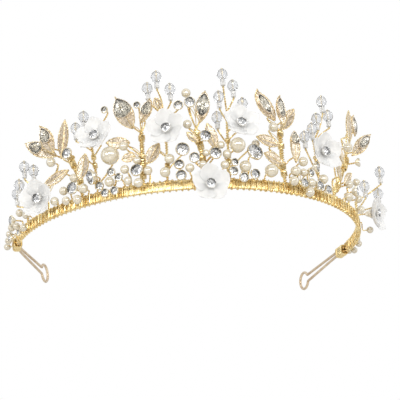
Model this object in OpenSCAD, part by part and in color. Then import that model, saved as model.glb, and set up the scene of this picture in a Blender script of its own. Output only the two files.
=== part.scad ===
// Bridal tiara: a wire-wrapped band with flowers, leaves, pearls and crystals on wire stems.
// Origin: centre of the band's circle, level with the strip's lower edge. +Z is up, the front is -Y.
// Places on the tiara are given as s, the distance along the band from the middle of the front
// (plus to the wearer's left), z, the height, and out, the distance outside the band.

/* [Band] */
// Outer radius of the strip
band_r = 75; // [70:0.5:85]
// Height of the strip
band_h = 3.2; // [2.6:0.1:4]
// Thickness of the strip
band_t = 0.9; // [0.6:0.1:1.1]
// Length of the strip from its middle to its left end
left_len = 117; // [114:1:124]
// Length of the strip from its middle to its right end
right_len = 138; // [134:1:144]
// Diameter of the thin wire wrapped round the band
wrap_d = 0.5; // [0.3:0.05:0.6]
// Distance between two turns of the wrapped wire
wrap_pitch = 2.5; // [2.4:0.1:3]

/* [Wires] */
// Diameter of the twisted main stems
stem_d = 1.8; // [1.2:0.1:1.8]
// Diameter of the twigs and of the base wire along the band
twig_d = 0.9; // [0.7:0.05:1]
// Diameter of the pegs that enter pearls and carry cups
peg_d = 0.6; // [0.4:0.05:0.7]
// Radial clearance between a wire and the bore of a bead
bead_clear = 0.05; // [0.03:0.01:0.08]

/* [Pin loops] */
// Diameter of the wire of a pin loop
loop_wire_d = 1.2; // [1:0.1:1.4]
// Length of a pin loop beyond the end of the strip
loop_len = 37; // [30:1:42]
// Outer diameter of the eye at the tip of a pin loop
eye_d = 8.8; // [8:0.2:10]
// Inward bend of the left pin loop, from straight on
left_bend = 25; // [0:1:35]
// Inward bend of the right pin loop, from straight on
right_bend = 1; // [0:1:35]
// Slope of both pin loops, down from level
loop_dip = 4.5; // [0:0.5:8]

/* [Flowers] */
// Diameter of a flower
flower_d = 15.6; // [14:0.1:16.5]
// Thickness of the petals
petal_t = 1; // [0.8:0.1:1.2]
// Number of petals
petals = 5; // [5:1:6]
// Diameter of the stone in the middle of a flower
flower_stone_d = 3.7; // [3.2:0.1:4.8]

/* [Beads and stones] */
// Diameter and length of a sprig crystal
crystal_d = 4.6; // [3.8:0.1:5.5]
// Diameter of the seed bead under a sprig crystal
seed_d = 2; // [1.6:0.1:2.4]
// Length of the seed bead under a sprig crystal
seed_len = 2.6; // [1.6:0.1:3.2]
// Wall of the cups and settings
cup_wall = 0.35; // [0.25:0.05:0.4]
// Clearance between a stone and its setting
stone_clear = 0.05; // [0.03:0.01:0.08]
// Thickness of the filigree leaves
leaf_t = 0.6; // [0.4:0.1:0.8]

/* [Hidden] */
$fn = 32;

GOLD = "#d9b25a";
PALE_GOLD = "#e6cf94";
PEARL = "#f3ead8";
RESIN = "#fbfbf8";
CLEAR = "#dfe6ea";

// Depth at which the stems stand: the middle of the strip's thickness.
layer = -band_t / 2;
// Height of the base wire's centre, just above the strip.
base_z = band_h + twig_d / 2 + 0.05;
// Room between the strip or the base wire and the wrapped wire.
wrap_gap = 0.08;
// Depth at which wires run in front of the wrapped band.
front_layer = wrap_gap + wrap_d + 0.1 + twig_d / 2;
// How much thicker a stem is over the band, where twigs and fine wire are wound in.
stem_swell = 1.2;
// Height above which a twig stands straight on the base wire instead of passing in front.
over_band = base_z + twig_d / 2 + wrap_gap + wrap_d + 0.8;
// Height up to which a stem goes straight up.
stem_foot_z = over_band;

// Length of the close coils that bind a pin loop to the strip, their wire and their number.
binding_len = 7.5;
binding_d = 0.7;
binding_pitch = 0.95;
binding_turns = 7;
// The first and the last place where a twig may stand, clear of the close coils.
first_foot = wrap_pitch * ceil((binding_len + 1.5 - left_len) / wrap_pitch);
last_foot = wrap_pitch * floor((right_len - binding_len - 0.4) / wrap_pitch);

// The trunks: [foot s, knee s, knee z, top s, top z, diameter].
T_A = [-77.5, -78, 9, -81, 13, twig_d + 0.3];
T_1 = [-55, -56, 13, -61, 24, stem_d];
T_B = [-47.5, -48, 15, -49.5, 28, twig_d + 0.3];
T_2 = [-27.5, -27.2, 14, -27, 26, stem_d];
T_C = [-17.5, -17, 20, -17.5, 36, twig_d + 0.3];
T_3 = [-2.5, -3.2, 17, -4.6, 25.5, stem_d];
T_D = [7.5, 8, 20, 8.5, 33, twig_d + 0.3];
T_4 = [32.5, 31.8, 12, 32.2, 27.5, stem_d];
T_E = [52.5, 52, 16, 51, 26, twig_d + 0.3];
T_5 = [62.5, 66.5, 10, 81.5, 27, stem_d];
T_F = [97.5, 98, 8, 99, 13, twig_d + 0.3];

// Flowers: [s, z, out, tilt up, turn to the right], out being the back of the petals.
FLOWERS = [
    [-73.4, 7.6, 5, -5, 18],
    [-44.2, 25.6, 4.5, 18, 5],
    [-16, 23.9, 5, 5, -10],
    [-1.5, -0.5, 5, 0, 0],
    [11.8, 25, 5, 16, 0],
    [49, 18.5, 5, 0, -8],
    [98, 6.5, 6, -5, -14]
];

// Sprig crystals: [s, z, out].
CRYSTALS_A = [[-83, 25, 5], [-76.5, 21, 5], [-85, 17.5, 6.5], [-90, 15.6, 5]];
CRYSTALS_B = [[-50.5, 37, 2.5], [-54.5, 33, 2.5]];
CRYSTALS_C = [[-19, 48, 3], [-22.8, 43.4, 3], [-14, 42, 3]];
CRYSTALS_D = [[6.9, 47.8, 3], [10.8, 43, 3], [4.8, 38, 3], [14.2, 35.4, 3], [3.4, 29, 3]];
CRYSTALS_E = [[54.4, 43.3, 3], [58, 37.9, 3], [49.9, 34.4, 3], [46, 28.9, 3.5], [41.9, 24.6, 3]];
CRYSTALS_F = [[98, 24.7, 11], [102, 16.5, 9.5], [95, 18, 4]];

// Pearls: [s, z, out, diameter].
PEARLS_LEFT = [
    [-67, 21.8, 4, 4], [-55.6, 11.5, 4, 3.6], [-51.5, 6, 4, 4], [-54.5, 2, 4, 3.8],
    [-60, 3, 4, 3.6], [-61, 7.5, 4, 3.6], [-40, 6, 4, 4], [-66.4, 4.8, 3.6, 3.6],
    [-91.4, 8, 3.5, 3.4], [-86, 5, 3.5, 3], [-101.5, 5, 3.5, 3.2], [-94, 3, 4, 3.2],
    [-88.5, 0.5, 3.5, 3.2], [-105.5, 3.5, 3.5, 3], [-109.5, 2, 3.2, 3], [-113, 0.5, 3.2, 3]
];
PEARLS_CENTRE = [
    [-33.5, 10, 4, 3.6], [-24.5, 8, 4, 3.6], [-28.5, 13, 4, 3.2], [-32.5, 5, 4, 3.4],
    [-28.5, 3.5, 4, 3.8], [-33, 19.3, 5.5, 3.6], [-16, 12, 4, 4], [-18, 6.5, 4, 4.2],
    [-8.6, 7.5, 4, 3.6], [-2, 13.5, 4, 2.8], [3.9, 16.9, 4, 3.2], [6, 13, 4, 3.6],
    [-3.5, 8.7, 4, 3.2], [4.8, 8.4, 4, 3.4], [-7.9, 40, 3, 3.8], [-8.3, 26.5, 3, 3.6],
    [12.9, 8, 4, 4.8]
];
PEARLS_RIGHT = [
    [18.6, 18.6, 2.4, 3.4], [26.2, 26, 4, 4], [39, 13, 4, 4], [34.8, 8.2, 4, 4.2],
    [33.6, 3.8, 4, 4], [38.8, 8.3, 4, 3.2], [42.5, 4.5, 4, 3.6], [49.5, 7.5, 4, 4],
    [41.2, 0.2, 4, 3.8], [73.6, 28.6, 3, 4], [68.6, 10.1, 4, 3.4], [76.8, 13.6, 4, 3.2],
    [67, 4.1, 4, 3.8], [77.6, 6.4, 4, 3.4], [79, 2, 4, 3.6], [101, 0.2, 4.4, 3],
    [124, 2, 3.2, 3], [130, 1, 3.2, 3], [135, 2.5, 3.2, 3]
];
// Pearls with a gilt cap: [s, z, out, diameter].
LARGE_PEARLS = [[-38.8, 16.7, 5, 7.4], [9.8, 16, 6.5, 6.2], [23.2, 6.6, 5, 5.4]];

// Round stones in cups: [s, z, out of the cup's back, diameter, tilt up, turn to the right].
ROUND_LEFT = [
    [-58, 22.6, 3, 4.2, 0, 0], [-56, 7, 3, 4.8, 0, 0], [-46, 10, 3.5, 5.6, -20, -30],
    [-39, 10, 3, 3, 0, 0], [-36, 7, 3, 3, 0, 0], [-44.2, 5.3, 3, 3, 0, 0],
    [-42, 1.7, 3, 3, 0, 0], [-38, 2, 3, 3, 0, 0], [-40.6, 37.4, 2.6, 2.4, 0, 0],
    [-98, 7, 3, 3.8, 0, 0], [-102, 0.5, 3, 2.5, 0, 0], [-92, -0.5, 3, 2.4, 0, 0]
];
ROUND_CENTRE = [
    [-28.5, 8.5, 3, 4.6, 0, 0], [-11, 15, 3.5, 5, 0, 0], [-6.5, 11.7, 3, 3.8, 0, 0],
    [-12.5, 9, 3, 3.6, 0, 0], [-12, 4.5, 3, 3.8, 0, 0], [-1.9, 20.7, 3, 4.2, 0, 0],
    [-6.9, 35.5, 3, 4, 0, 0], [-11.2, 34.5, 3, 3.4, 0, 0], [-27.3, 36.8, 2.4, 2.4, 0, 0],
    [1.5, 13, 3, 4.4, 0, 0], [16.1, 13.3, 3.5, 6.4, 12, 10], [8.7, 9.5, 3, 2.7, 0, 0],
    [7.9, 5.7, 3, 3.2, 0, 0], [12, 3.3, 3, 3.4, 0, 0], [16.4, 4.9, 3, 3.6, 0, 0]
];
ROUND_RIGHT = [
    [38.4, 3.5, 3, 3.4, 0, 0], [42.3, 8.6, 3, 2.8, 0, 0], [45, 12, 3, 4, 0, 30],
    [46.5, 4, 3, 3.6, 0, 0], [51.5, 3.5, 3, 3.2, 0, 0], [73.2, 8.4, 3, 4.2, 0, 15],
    [81.9, 24.3, 3, 3.2, 0, 20], [127, 5, 2.5, 3.6, 0, 0]
];

// Filigree leaves: [base s, base z, out, tip to the right of the base, tip above it, width,
// turn to the right].
LEAVES = [
    [-61.7, 22, 3, 3.4, 15.8, 5.8, 0], [-59, 16.3, 2.2, -13, -3.5, 4.8, 0],
    [-50.5, 21.1, 2.4, -2.5, -11.3, 5.6, 0], [-31.1, 21.3, 2.6, -9.6, 1.2, 5, 0],
    [-29.4, 15.6, 2.4, -5.4, -1, 4, 0], [-19.7, 19.5, 2.4, -5.5, -8.5, 5, 0],
    [-18.3, 33.8, 2.2, -1.7, 5.2, 3.6, 0], [-4.5, 18.5, 2.4, -4.5, 4.5, 3, 0],
    [2.4, 15.8, 1.4, -3, 11.2, 4.6, 0], [27.8, 18, 4.6, -11.2, 2.2, 4.8, 0],
    [30.1, 11, 2.4, -9.3, 3.4, 4.8, 0], [30.9, 26.2, 1.8, 6.6, 9.7, 5.2, 0],
    [66.4, 18.8, 3, -5.4, 7.8, 4.4, 0], [62.8, 10.4, 3, -2.9, 7.8, 4, 0],
    [75.1, 30.8, 3, 1.2, 15.3, 5, -12], [68.7, 10.6, 1.4, 6.4, 6.7, 4, 0]
];

// Filigree leaves that carry a pointed stone: the same, then [stone length, stone width,
// distance from the base to the middle of the stone as a share of the leaf's length].
STONE_LEAVES = [
    [-65, 24.1, 2.4, -13.4, 7.8, 6.4, 25, 6, 4.4, 0.68],
    [-64.4, 24.6, 4.8, -5.4, 13.2, 6.2, 12, 6.8, 4.2, 0.66],
    [-29.5, 27, 3, -6.1, 14.1, 7.6, 0, 8.6, 6.6, 0.68],
    [-26, 28.6, 3.7, 4.6, 9.6, 4.8, 0, 6, 3.4, 0.62],
    [-3.4, 26.8, 3, 3, 13.6, 5.6, 0, 10.2, 4.9, 0.54],
    [27.6, 29.1, 3, -8.3, 12.2, 6.8, 0, 9.2, 3.8, 0.56],
    [30.5, 26.2, 4.8, -1.7, 13.1, 4.8, 0, 8.4, 3.2, 0.62],
    [35.9, 12.2, 3, 0.2, 13.8, 5, 0, 4.8, 3.4, 0.78],
    [85.4, 37.6, 3, -1, 9.3, 3.6, -15, 7.4, 2.6, 0.5],
    [77.2, 25.9, 3, 10.9, 11.1, 5.4, -35, 8, 3.6, 0.64]
];

// Degrees around the head at a distance s along the band.
function turn(s) = s / band_r * 180 / PI;
// The point at s, z, out.
function place(s, z, out) = [
    (band_r + out) * sin(turn(s)),
    -(band_r + out) * cos(turn(s)),
    z
];
// Where the twig of something at s stands: midway between two turns of the wrapped wire.
function foot(s) = min(last_foot, max(first_foot, wrap_pitch * round(s / wrap_pitch)));
// The s of a trunk's middle at height z.
function trunk_s(t, z) =
    z < t[2]
        ? t[0] + (t[1] - t[0]) * max(0, z - stem_foot_z) / (t[2] - stem_foot_z)
        : t[1] + (t[3] - t[1]) * (z - t[2]) / (t[4] - t[2]);
// Height at which a twig to s, z leaves a trunk, at about 45 degrees.
function fork_z(t, s, z) = min(t[4], z - abs(s - trunk_s(t, min(z, t[4]))));

// Puts what is drawn at the origin at s, z, out. Z then points up, and -Y outward.
module at(s, z, out) {
    rotate(turn(s)) translate([0, -(band_r + out), z]) children();
}

// As at(), with X to the right, Y up and Z outward.
module facing(s, z, out, up = 0, right = 0) {
    at(s, z, out) rotate([90, 0, 0]) rotate([-up, right, 0]) children();
}

// A straight wire from a to b.
module rod(a, b, d, sides = 8) {
    v = b - a;
    h = norm(v);
    translate(a)
        rotate([0, acos(v.z / h), atan2(v.y, v.x)])
            cylinder(d = d, h = h, $fn = sides);
}

// ---- wires ----

// The stretch of base wire from s = a to s = b.
module base_wire(a, b) {
    rotate(turn(a + 0.05) - 90)
        rotate_extrude(angle = turn(b - a - 0.1), $fn = 360)
            translate([band_r + layer, base_z])
                circle(d = twig_d, $fn = 24);
}

module trunk(t) {
    foot_point = place(t[0], base_z, layer);
    bend = place(t[0], stem_foot_z, layer);
    knee = place(t[1], t[2], layer);
    top = place(t[3], t[4], layer);
    rod(foot_point, bend + [0, 0, 0.2], t[5]);
    rod(bend, knee, t[5] * stem_swell);
    rod(knee - 0.1 * (knee - bend) / norm(knee - bend), top, t[5] * stem_swell * 0.99);
}

// A wire from the base wire or a trunk to a peg that reaches from the layer to out at s, z.
module carry(t, s, z, out, d = peg_d) {
    zf = fork_z(t, s, z);
    if (z < over_band) {
        f = foot(s);
        rod(place(f, base_z, layer), place(f, base_z, front_layer), peg_d + 0.1);
        rod(place(f, base_z, front_layer), place(s, z, front_layer), peg_d + 0.06);
        rod(place(s, z, front_layer - peg_d / 2), place(s, z, out), d);
    } else {
        if (zf > stem_foot_z + 1)
            rod(place(trunk_s(t, zf), zf, layer), place(s, z, layer), twig_d * 0.9);
        else
            rod(place(foot(s), base_z, layer), place(s, z, layer), twig_d * 0.95);
        rod(place(s, z, layer - twig_d / 2), place(s, z, out), d);
    }
}

// The pin that a sprig crystal turns on, with its twig, shoulder and head.
module crystal_pin(t, c) {
    r = (peg_d / 2);
    low = c.y - crystal_d / 2 - seed_len - 0.6;
    zf = max(stem_foot_z + 0.5, fork_z(t, c.x, low));
    rod(place(trunk_s(t, zf), zf, layer), place(c.x, low, c.z), twig_d * 0.9);
    at(c.x, low, c.z) {
        cylinder(r = r, h = crystal_d + seed_len + 1, $fn = 32);
        for (z = [-0.3, crystal_d + seed_len + 0.8])
            translate([0, 0, z]) cylinder(r = 1.7 * r, h = 0.5, $fn = 32);
    }
}

// Where the peg of a flower meets its tilted stalk, back from the petals.
flower_stalk = 3.4;
function flower_root(f) = [
    f[0] - flower_stalk * cos(f[3]) * sin(f[4]),
    f[1] - flower_stalk * sin(f[3]),
    f[2] - flower_stalk * cos(f[3]) * cos(f[4])
];

module carry_flower(t, f) {
    root = flower_root(f);
    carry(t, root[0], root[1], root[2] + 0.1, peg_d + 0.12);
    facing(f[0], f[1], f[2], f[3], f[4])
        translate([0, 0, -flower_stalk])
            cylinder(d = peg_d, h = flower_stalk + flower_cup_back, $fn = 24);
}

// A leaf is carried at a point a fifth of the way up from its base: that point's s, z and out.
function leaf_grip(l) = [
    l[0] + 0.2 * l[3] * cos(l[6]),
    l[1] + 0.2 * l[4],
    l[2] - 0.2 * l[3] * sin(l[6]) - peg_d / 2 * abs(tan(l[6]))
];

module carry_all(t, pearls = [], stones = [], leaves = [], crystals = []) {
    for (p = pearls) carry(t, p[0], p[1], p[2] + 0.1 * p[3]);
    for (c = stones) carry(t, c[0], c[1], c[2]);
    for (g = [for (l = leaves) leaf_grip(l)]) carry(t, g[0], g[1], g[2]);
    for (c = crystals) crystal_pin(t, c);
}

// What of a list lies between s = a and s = b, by the entry's column k.
function between(list, a, b, k = 0) = [for (e = list) if (e[k] >= a && e[k] < b) e];

// Everything that one trunk carries between s = a and s = b.
module zone(a, b, t, crystals = []) {
    trunk(t);
    carry_all(
        t,
        between(concat(PEARLS_LEFT, PEARLS_CENTRE, PEARLS_RIGHT, LARGE_PEARLS), a, b),
        between(concat(ROUND_LEFT, ROUND_CENTRE, ROUND_RIGHT), a, b),
        between(concat(LEAVES, STONE_LEAVES), a, b),
        crystals
    );
    for (f = between(FLOWERS, a, b)) carry_flower(t, f);
}

module wires_left_end() {
    color(GOLD) union() { base_wire(first_foot - 1, -66); zone(-117, -66, T_A, CRYSTALS_A); }
}
module wires_spray_1() {
    color(GOLD) union() {
        base_wire(-66, -36);
        zone(-66, -51, T_1);
        zone(-51, -36, T_B, CRYSTALS_B);
    }
}
module wires_spray_2() {
    color(GOLD) union() {
        base_wire(-36, -9.5);
        zone(-36, -20.5, T_2);
        zone(-20.5, -9.5, T_C, CRYSTALS_C);
    }
}
module wires_centre() {
    color(GOLD) union() {
        base_wire(-9.5, 20);
        zone(-9.5, 4, T_3);
        zone(4, 20, T_D, CRYSTALS_D);
    }
}
module wires_spray_4() {
    color(GOLD) union() { base_wire(20, 42); zone(20, 42, T_4); }
}
module wires_spray_5() {
    color(GOLD) union() {
        base_wire(42, 92);
        zone(42, 57, T_E, CRYSTALS_E);
        zone(57, 92, T_5);
    }
}
module wires_right_end() {
    color(GOLD) union() { base_wire(92, last_foot + 0.5); zone(92, 138, T_F, CRYSTALS_F); }
}

// ---- band ----

module band_strip() {
    color(GOLD)
        rotate(-90 - turn(left_len))
            rotate_extrude(angle = turn(left_len + right_len), $fn = 360)
                translate([band_r - band_t, 0]) square([band_t, band_h]);
}

// One turn of wire round the strip and the base wire.
module wrap_turn(s, d = wrap_d) {
    high = base_z + twig_d / 2;
    wide = max(band_t, twig_d) + 2 * wrap_gap;
    at(s, 0, layer)
        difference() {
            translate([-d / 2, -wide / 2 - d, -wrap_gap - d])
                cube([d, wide + 2 * d, high + 2 * wrap_gap + 2 * d]);
            translate([-d, -wide / 2, -wrap_gap]) cube([2 * d, wide, high + 2 * wrap_gap]);
        }
}

module band_wrap_wire() {
    first = ceil((binding_len - left_len) / wrap_pitch);
    last = floor((right_len - binding_len) / wrap_pitch) - 1;
    color(GOLD) for (k = [first:last]) wrap_turn((k + 0.5) * wrap_pitch);
}

// Height of a pin loop, and half the distance between its legs at the strip and at the eye.
loop_z = band_h / 2;
leg_gap = 0.8;
leg_spread = 1.5;

// Depth of the loop's legs, against the inner face of the strip.
leg_layer = -band_t - wrap_gap - loop_wire_d / 2;

// Close coils round the strip and the two legs, from the end s0 back along the strip.
module end_binding(s0, dir) {
    deep = band_t + loop_wire_d + 3 * wrap_gap;
    color(GOLD) for (k = [0:binding_turns - 1])
        at(s0 - dir * (1 + k * binding_pitch), 0, 0)
            translate([-binding_d / 2, 0, 0])
                difference() {
                    translate([0, -wrap_gap - binding_d, -wrap_gap - binding_d])
                        cube([binding_d, deep + 2 * binding_d, band_h + 2 * wrap_gap + 2 * binding_d]);
                    translate([-binding_d, -wrap_gap, -wrap_gap])
                        cube([3 * binding_d, deep, band_h + 2 * wrap_gap]);
                }
}

// A keyhole hairpin: two legs inside the binding, bent inward at the end, with an eye at the tip.
module pin_loop(s0, dir, bend) {
    eye_r = (eye_d - loop_wire_d) / 2;
    eye_x = loop_len - eye_d / 2;
    start = asin(leg_spread / eye_r);
    back = turn(binding_len - 0.5);
    color(PALE_GOLD) union() {
        for (side = [-1, 1])
            rotate(turn(s0) - 90 - (dir > 0 ? back : 0))
                rotate_extrude(angle = back, $fn = 360)
                    translate([band_r + leg_layer, loop_z + side * leg_gap])
                        circle(d = loop_wire_d, $fn = 24);
        at(s0, loop_z, leg_layer) rotate([0, loop_dip, dir > 0 ? bend : 180 - bend]) {
            rotate([90, 0, 0]) translate([eye_x, 0, 0])
                rotate(180 + start)
                    rotate_extrude(angle = 360 - 2 * start)
                        translate([eye_r, 0]) circle(d = loop_wire_d, $fn = 24);
            for (side = [-1, 1]) {
                translate([0, 0, side * leg_gap]) sphere(d = loop_wire_d * 1.05);
                rod(
                    [0, 0, side * leg_gap], [eye_x - eye_r * cos(start), 0, side * leg_spread],
                    loop_wire_d * 0.98, 24
                );
            }
        }
    }
}

// ---- flowers ----

flower_bowl_r = flower_d * 0.62;
petal_r = flower_d * 0.29;
// Height of a centre cup's back above the back of the petals.
flower_cup_back = petal_t + 0.15;

module flower(i) {
    f = FLOWERS[i];
    color(RESIN)
        facing(f[0], f[1], f[2], f[3], f[4])
            difference() {
                intersection() {
                    translate([0, 0, flower_bowl_r])
                        difference() {
                            sphere(r = flower_bowl_r, $fn = 96);
                            sphere(r = flower_bowl_r - petal_t, $fn = 96);
                        }
                    linear_extrude(flower_bowl_r) {
                        circle(r = petal_r * 0.75);
                        for (k = [0:petals - 1])
                            rotate(90 + k * 360 / petals)
                                translate([flower_d / 2 - petal_r, 0])
                                    circle(r = petal_r);
                    }
                }
                translate([0, 0, -1]) cylinder(d = peg_d + 2 * bead_clear, h = petal_t + 2);
            }
}

// The cream cone behind a flower.
module flower_back(f) {
    facing(f[0], f[1], f[2], f[3], f[4])
        rotate_extrude() polygon([
            [peg_d / 2 + bead_clear, -2.9], [1.1, -2.9], [2.2, -0.15],
            [peg_d / 2 + bead_clear, -0.15]
        ]);
}

module flower_backs() { color("#efe3cc") for (f = FLOWERS) flower_back(f); }
module flower_cups() {
    color(GOLD) for (f = FLOWERS)
        facing(f[0], f[1], f[2], f[3], f[4])
            translate([0, 0, flower_cup_back]) cup(flower_stone_d);
}
module flower_stones() {
    color(CLEAR) for (f = FLOWERS)
        facing(f[0], f[1], f[2], f[3], f[4])
            translate([0, 0, flower_cup_back]) brilliant(flower_stone_d);
}

// ---- stones in cups ----

// Depth of a round stone below its girdle and above it, as shares of its diameter.
pavilion = 0.38;
crown = 0.16;
cup_floor = 0.35;
girdle_t = 0.15;

// A cup for a round stone of diameter d, its back at z = 0, opening along +Z.
module cup(d) {
    r = d / 2;
    girdle_z = cup_floor + pavilion * d;
    rotate_extrude() polygon([
        [0, 0],
        [r * 0.5, 0],
        [r + cup_wall, girdle_z * 0.8],
        [r + cup_wall, girdle_z + girdle_t + 0.35],
        [r - 0.15, girdle_z + girdle_t + 0.4],
        [r - 0.15, girdle_z + girdle_t + 0.2],
        [r + stone_clear, girdle_z + girdle_t],
        [r + stone_clear, girdle_z - stone_clear],
        [r * 0.3, cup_floor],
        [0, cup_floor]
    ]);
}

// A brilliant of diameter d, sitting in cup(d).
module brilliant(d) {
    r = d / 2;
    girdle_z = cup_floor + pavilion * d;
    rotate_extrude() polygon([
        [0, cup_floor + 0.1],
        [r * 0.2, cup_floor + 0.15],
        [r - 0.02, girdle_z],
        [r - 0.02, girdle_z + girdle_t - stone_clear],
        [r * 0.6, girdle_z + girdle_t + crown * d],
        [0, girdle_z + girdle_t + crown * d]
    ]);
}

module each_round() {
    for (c = concat(ROUND_LEFT, ROUND_CENTRE, ROUND_RIGHT))
        facing(c[0], c[1], c[2], c[4], c[5]) {
            $d = c[3];
            children();
        }
}
module round_cups() { color(GOLD) each_round() cup($d); }
module round_stones() { color(CLEAR) each_round() brilliant($d); }

// ---- leaves ----

// A pointed leaf outline of length l and width w, its base at the origin and its tip along +X.
module leaf_outline(l, w) {
    r = (l * l + w * w) / (4 * w);
    intersection_for(side = [-1, 1])
        translate([l / 2, side * (r - w / 2)]) circle(r = r, $fn = 128);
}

module leaf_frame(l) {
    facing(l[0], l[1], l[2], 0, l[6]) rotate(atan2(l[4], l[3])) {
        $l = norm([l[3], l[4]]);
        $w = l[5];
        children();
    }
}

module filigree_leaf(l, w) {
    vein = 0.45;
    linear_extrude(leaf_t) {
        difference() {
            leaf_outline(l, w);
            translate([1.2, 0]) leaf_outline(l - 2.4, w - 1.4);
        }
        intersection() {
            leaf_outline(l, w);
            union() {
                translate([0, -vein / 2]) square([l, vein]);
                translate([0.1 * l, -0.7]) square([0.2 * l, 1.4]);
                for (x = [0.3:0.17:0.8], side = [-1, 1])
                    translate([x * l, 0]) rotate(side * 50)
                        translate([0, -vein / 2]) square([w, vein]);
            }
        }
    }
}

module filigree_leaves() {
    color(PALE_GOLD) for (l = LEAVES) leaf_frame(l) filigree_leaf($l, $w);
}

// Depth of the stone seat in a leaf's setting, and heights of the setting and of the stone.
setting_floor = 0.4;
setting_h = 1.3;
leaf_stone_h = 1.9;
// Wall of a setting at its points, where the stone's outline runs to a tip.
setting_tip = 2.5 * cup_wall;

// Draws its children with their base at the stone seat, less a margin at each point.
module on_seat(l, margin) {
    translate([l[9] * $l - l[7] / 2 + margin, 0, 0]) children();
}

module stone_leaf_settings() {
    color(GOLD) for (l = STONE_LEAVES) leaf_frame(l)
        difference() {
            union() {
                filigree_leaf($l, $w);
                on_seat(l, -setting_tip)
                    linear_extrude(setting_h)
                        leaf_outline(l[7] + 2 * setting_tip, l[8] + 2 * cup_wall);
            }
            on_seat(l, 0)
                translate([0, 0, setting_floor])
                    linear_extrude(setting_h) leaf_outline(l[7], l[8]);
        }
}

module leaf_stones() {
    color(CLEAR) for (l = STONE_LEAVES) leaf_frame(l) {
        long = l[7] - 4 * stone_clear;
        wide = l[8] - 2 * stone_clear;
        on_seat(l, 2 * stone_clear)
            translate([0, 0, setting_floor + stone_clear]) {
                linear_extrude(setting_h - setting_floor) leaf_outline(long, wide);
                translate([0.12 * long, 0, 0])
                    linear_extrude(leaf_stone_h - setting_floor)
                        leaf_outline(long * 0.76, wide * 0.7);
            }
    }
}

// ---- pearls and crystals ----

module pearl(d) {
    difference() {
        sphere(d = d);
        translate([0, 0, -d]) cylinder(d = peg_d + 2 * bead_clear, h = 1.15 * d);
    }
}
module pearls(list) {
    color(PEARL) for (p = list) facing(p[0], p[1], p[2]) pearl(p[3]);
}
module pearls_left() { pearls(PEARLS_LEFT); }
module pearls_centre() { pearls(PEARLS_CENTRE); }
module pearls_right() { pearls(PEARLS_RIGHT); }
module large_pearls() { pearls(LARGE_PEARLS); }
// A shallow cap behind each large pearl, with the peg through it.
module pearl_cap(d) {
    inner = d / 2 + 2 * bead_clear;
    hole = peg_d / 2 + bead_clear;
    difference() {
        rotate_extrude() polygon([
            [hole, -inner - cup_wall], [0.45 * inner, -inner - cup_wall],
            [0.85 * inner, -0.4 * inner], [0.6 * inner, -0.4 * inner], [hole, -0.6 * inner]
        ]);
        sphere(r = inner, $fn = 64);
    }
}
module pearl_caps() {
    color(GOLD) for (p = LARGE_PEARLS) facing(p[0], p[1], p[2]) pearl_cap(p[3]);
}

// The short tube between a crystal and the shoulder of its pin.
module seed_bead(c) {
    bore = peg_d / 2 + bead_clear;
    edge = 0.25;
    r = seed_d / 2;
    h = seed_len / 2 - 0.05;
    at(c.x, c.y - crystal_d / 2 - 0.05 - seed_len / 2, c.z)
        rotate_extrude() polygon([
            [bore, -h], [r - edge, -h], [r, edge - h],
            [r, h - edge], [r - edge, h], [bore, h]
        ]);
}
module seed_beads() {
    all = concat(CRYSTALS_A, CRYSTALS_B, CRYSTALS_C, CRYSTALS_D, CRYSTALS_E, CRYSTALS_F);
    color(CLEAR) for (c = all) seed_bead(c);
}

// A faceted bead: two cones with flat ends on a bore.
module crystal(c) {
    bore = peg_d / 2 + bead_clear;
    color(CLEAR) at(c.x, c.y, c.z)
        rotate_extrude() polygon([
            [bore, -crystal_d / 2], [1, -crystal_d / 2], [crystal_d / 2, -0.2],
            [crystal_d / 2, 0.2], [1, crystal_d / 2], [bore, crystal_d / 2]
        ]);
}

band_strip();
band_wrap_wire();
pin_loop(-left_len, -1, left_bend);  // left_pin_loop
pin_loop(right_len, 1, right_bend);  // right_pin_loop
end_binding(-left_len, -1);  // left_end_binding
end_binding(right_len, 1);  // right_end_binding
wires_left_end();
wires_spray_1();
wires_spray_2();
wires_centre();
wires_spray_4();
wires_spray_5();
wires_right_end();
flower(0);  // flower_1
flower(1);  // flower_2
flower(2);  // flower_3
flower(3);  // flower_4
flower(4);  // flower_5
flower(5);  // flower_6
flower(6);  // flower_7
flower_backs();
flower_cups();
flower_stones();
filigree_leaves();
stone_leaf_settings();
leaf_stones();
round_cups();
round_stones();
pearls_left();
pearls_centre();
pearls_right();
large_pearls();
pearl_caps();
seed_beads();
crystal(CRYSTALS_A[0]);  // crystal_a1
crystal(CRYSTALS_A[1]);  // crystal_a2
crystal(CRYSTALS_A[2]);  // crystal_a3
crystal(CRYSTALS_A[3]);  // crystal_a4
crystal(CRYSTALS_B[0]);  // crystal_b1
crystal(CRYSTALS_B[1]);  // crystal_b2
crystal(CRYSTALS_C[0]);  // crystal_c1
crystal(CRYSTALS_C[1]);  // crystal_c2
crystal(CRYSTALS_C[2]);  // crystal_c3
crystal(CRYSTALS_D[0]);  // crystal_d1
crystal(CRYSTALS_D[1]);  // crystal_d2
crystal(CRYSTALS_D[2]);  // crystal_d3
crystal(CRYSTALS_D[3]);  // crystal_d4
crystal(CRYSTALS_D[4]);  // crystal_d5
crystal(CRYSTALS_E[0]);  // crystal_e1
crystal(CRYSTALS_E[1]);  // crystal_e2
crystal(CRYSTALS_E[2]);  // crystal_e3
crystal(CRYSTALS_E[3]);  // crystal_e4
crystal(CRYSTALS_E[4]);  // crystal_e5
crystal(CRYSTALS_F[0]);  // crystal_f1
crystal(CRYSTALS_F[1]);  // crystal_f2
crystal(CRYSTALS_F[2]);  // crystal_f3
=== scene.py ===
"""The looks of the bridal tiara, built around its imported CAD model.

Shapes are worked out in millimetres and turned into metres when a mesh is made. Places are given as
s, the distance along the band from the middle of the front, z, the height, and out, the distance
outside the band, as in the CAD source. The fine winding of the band, the ties round the trunks and the
spare wires have no counterpart in the CAD.
"""
import math
import random

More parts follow.
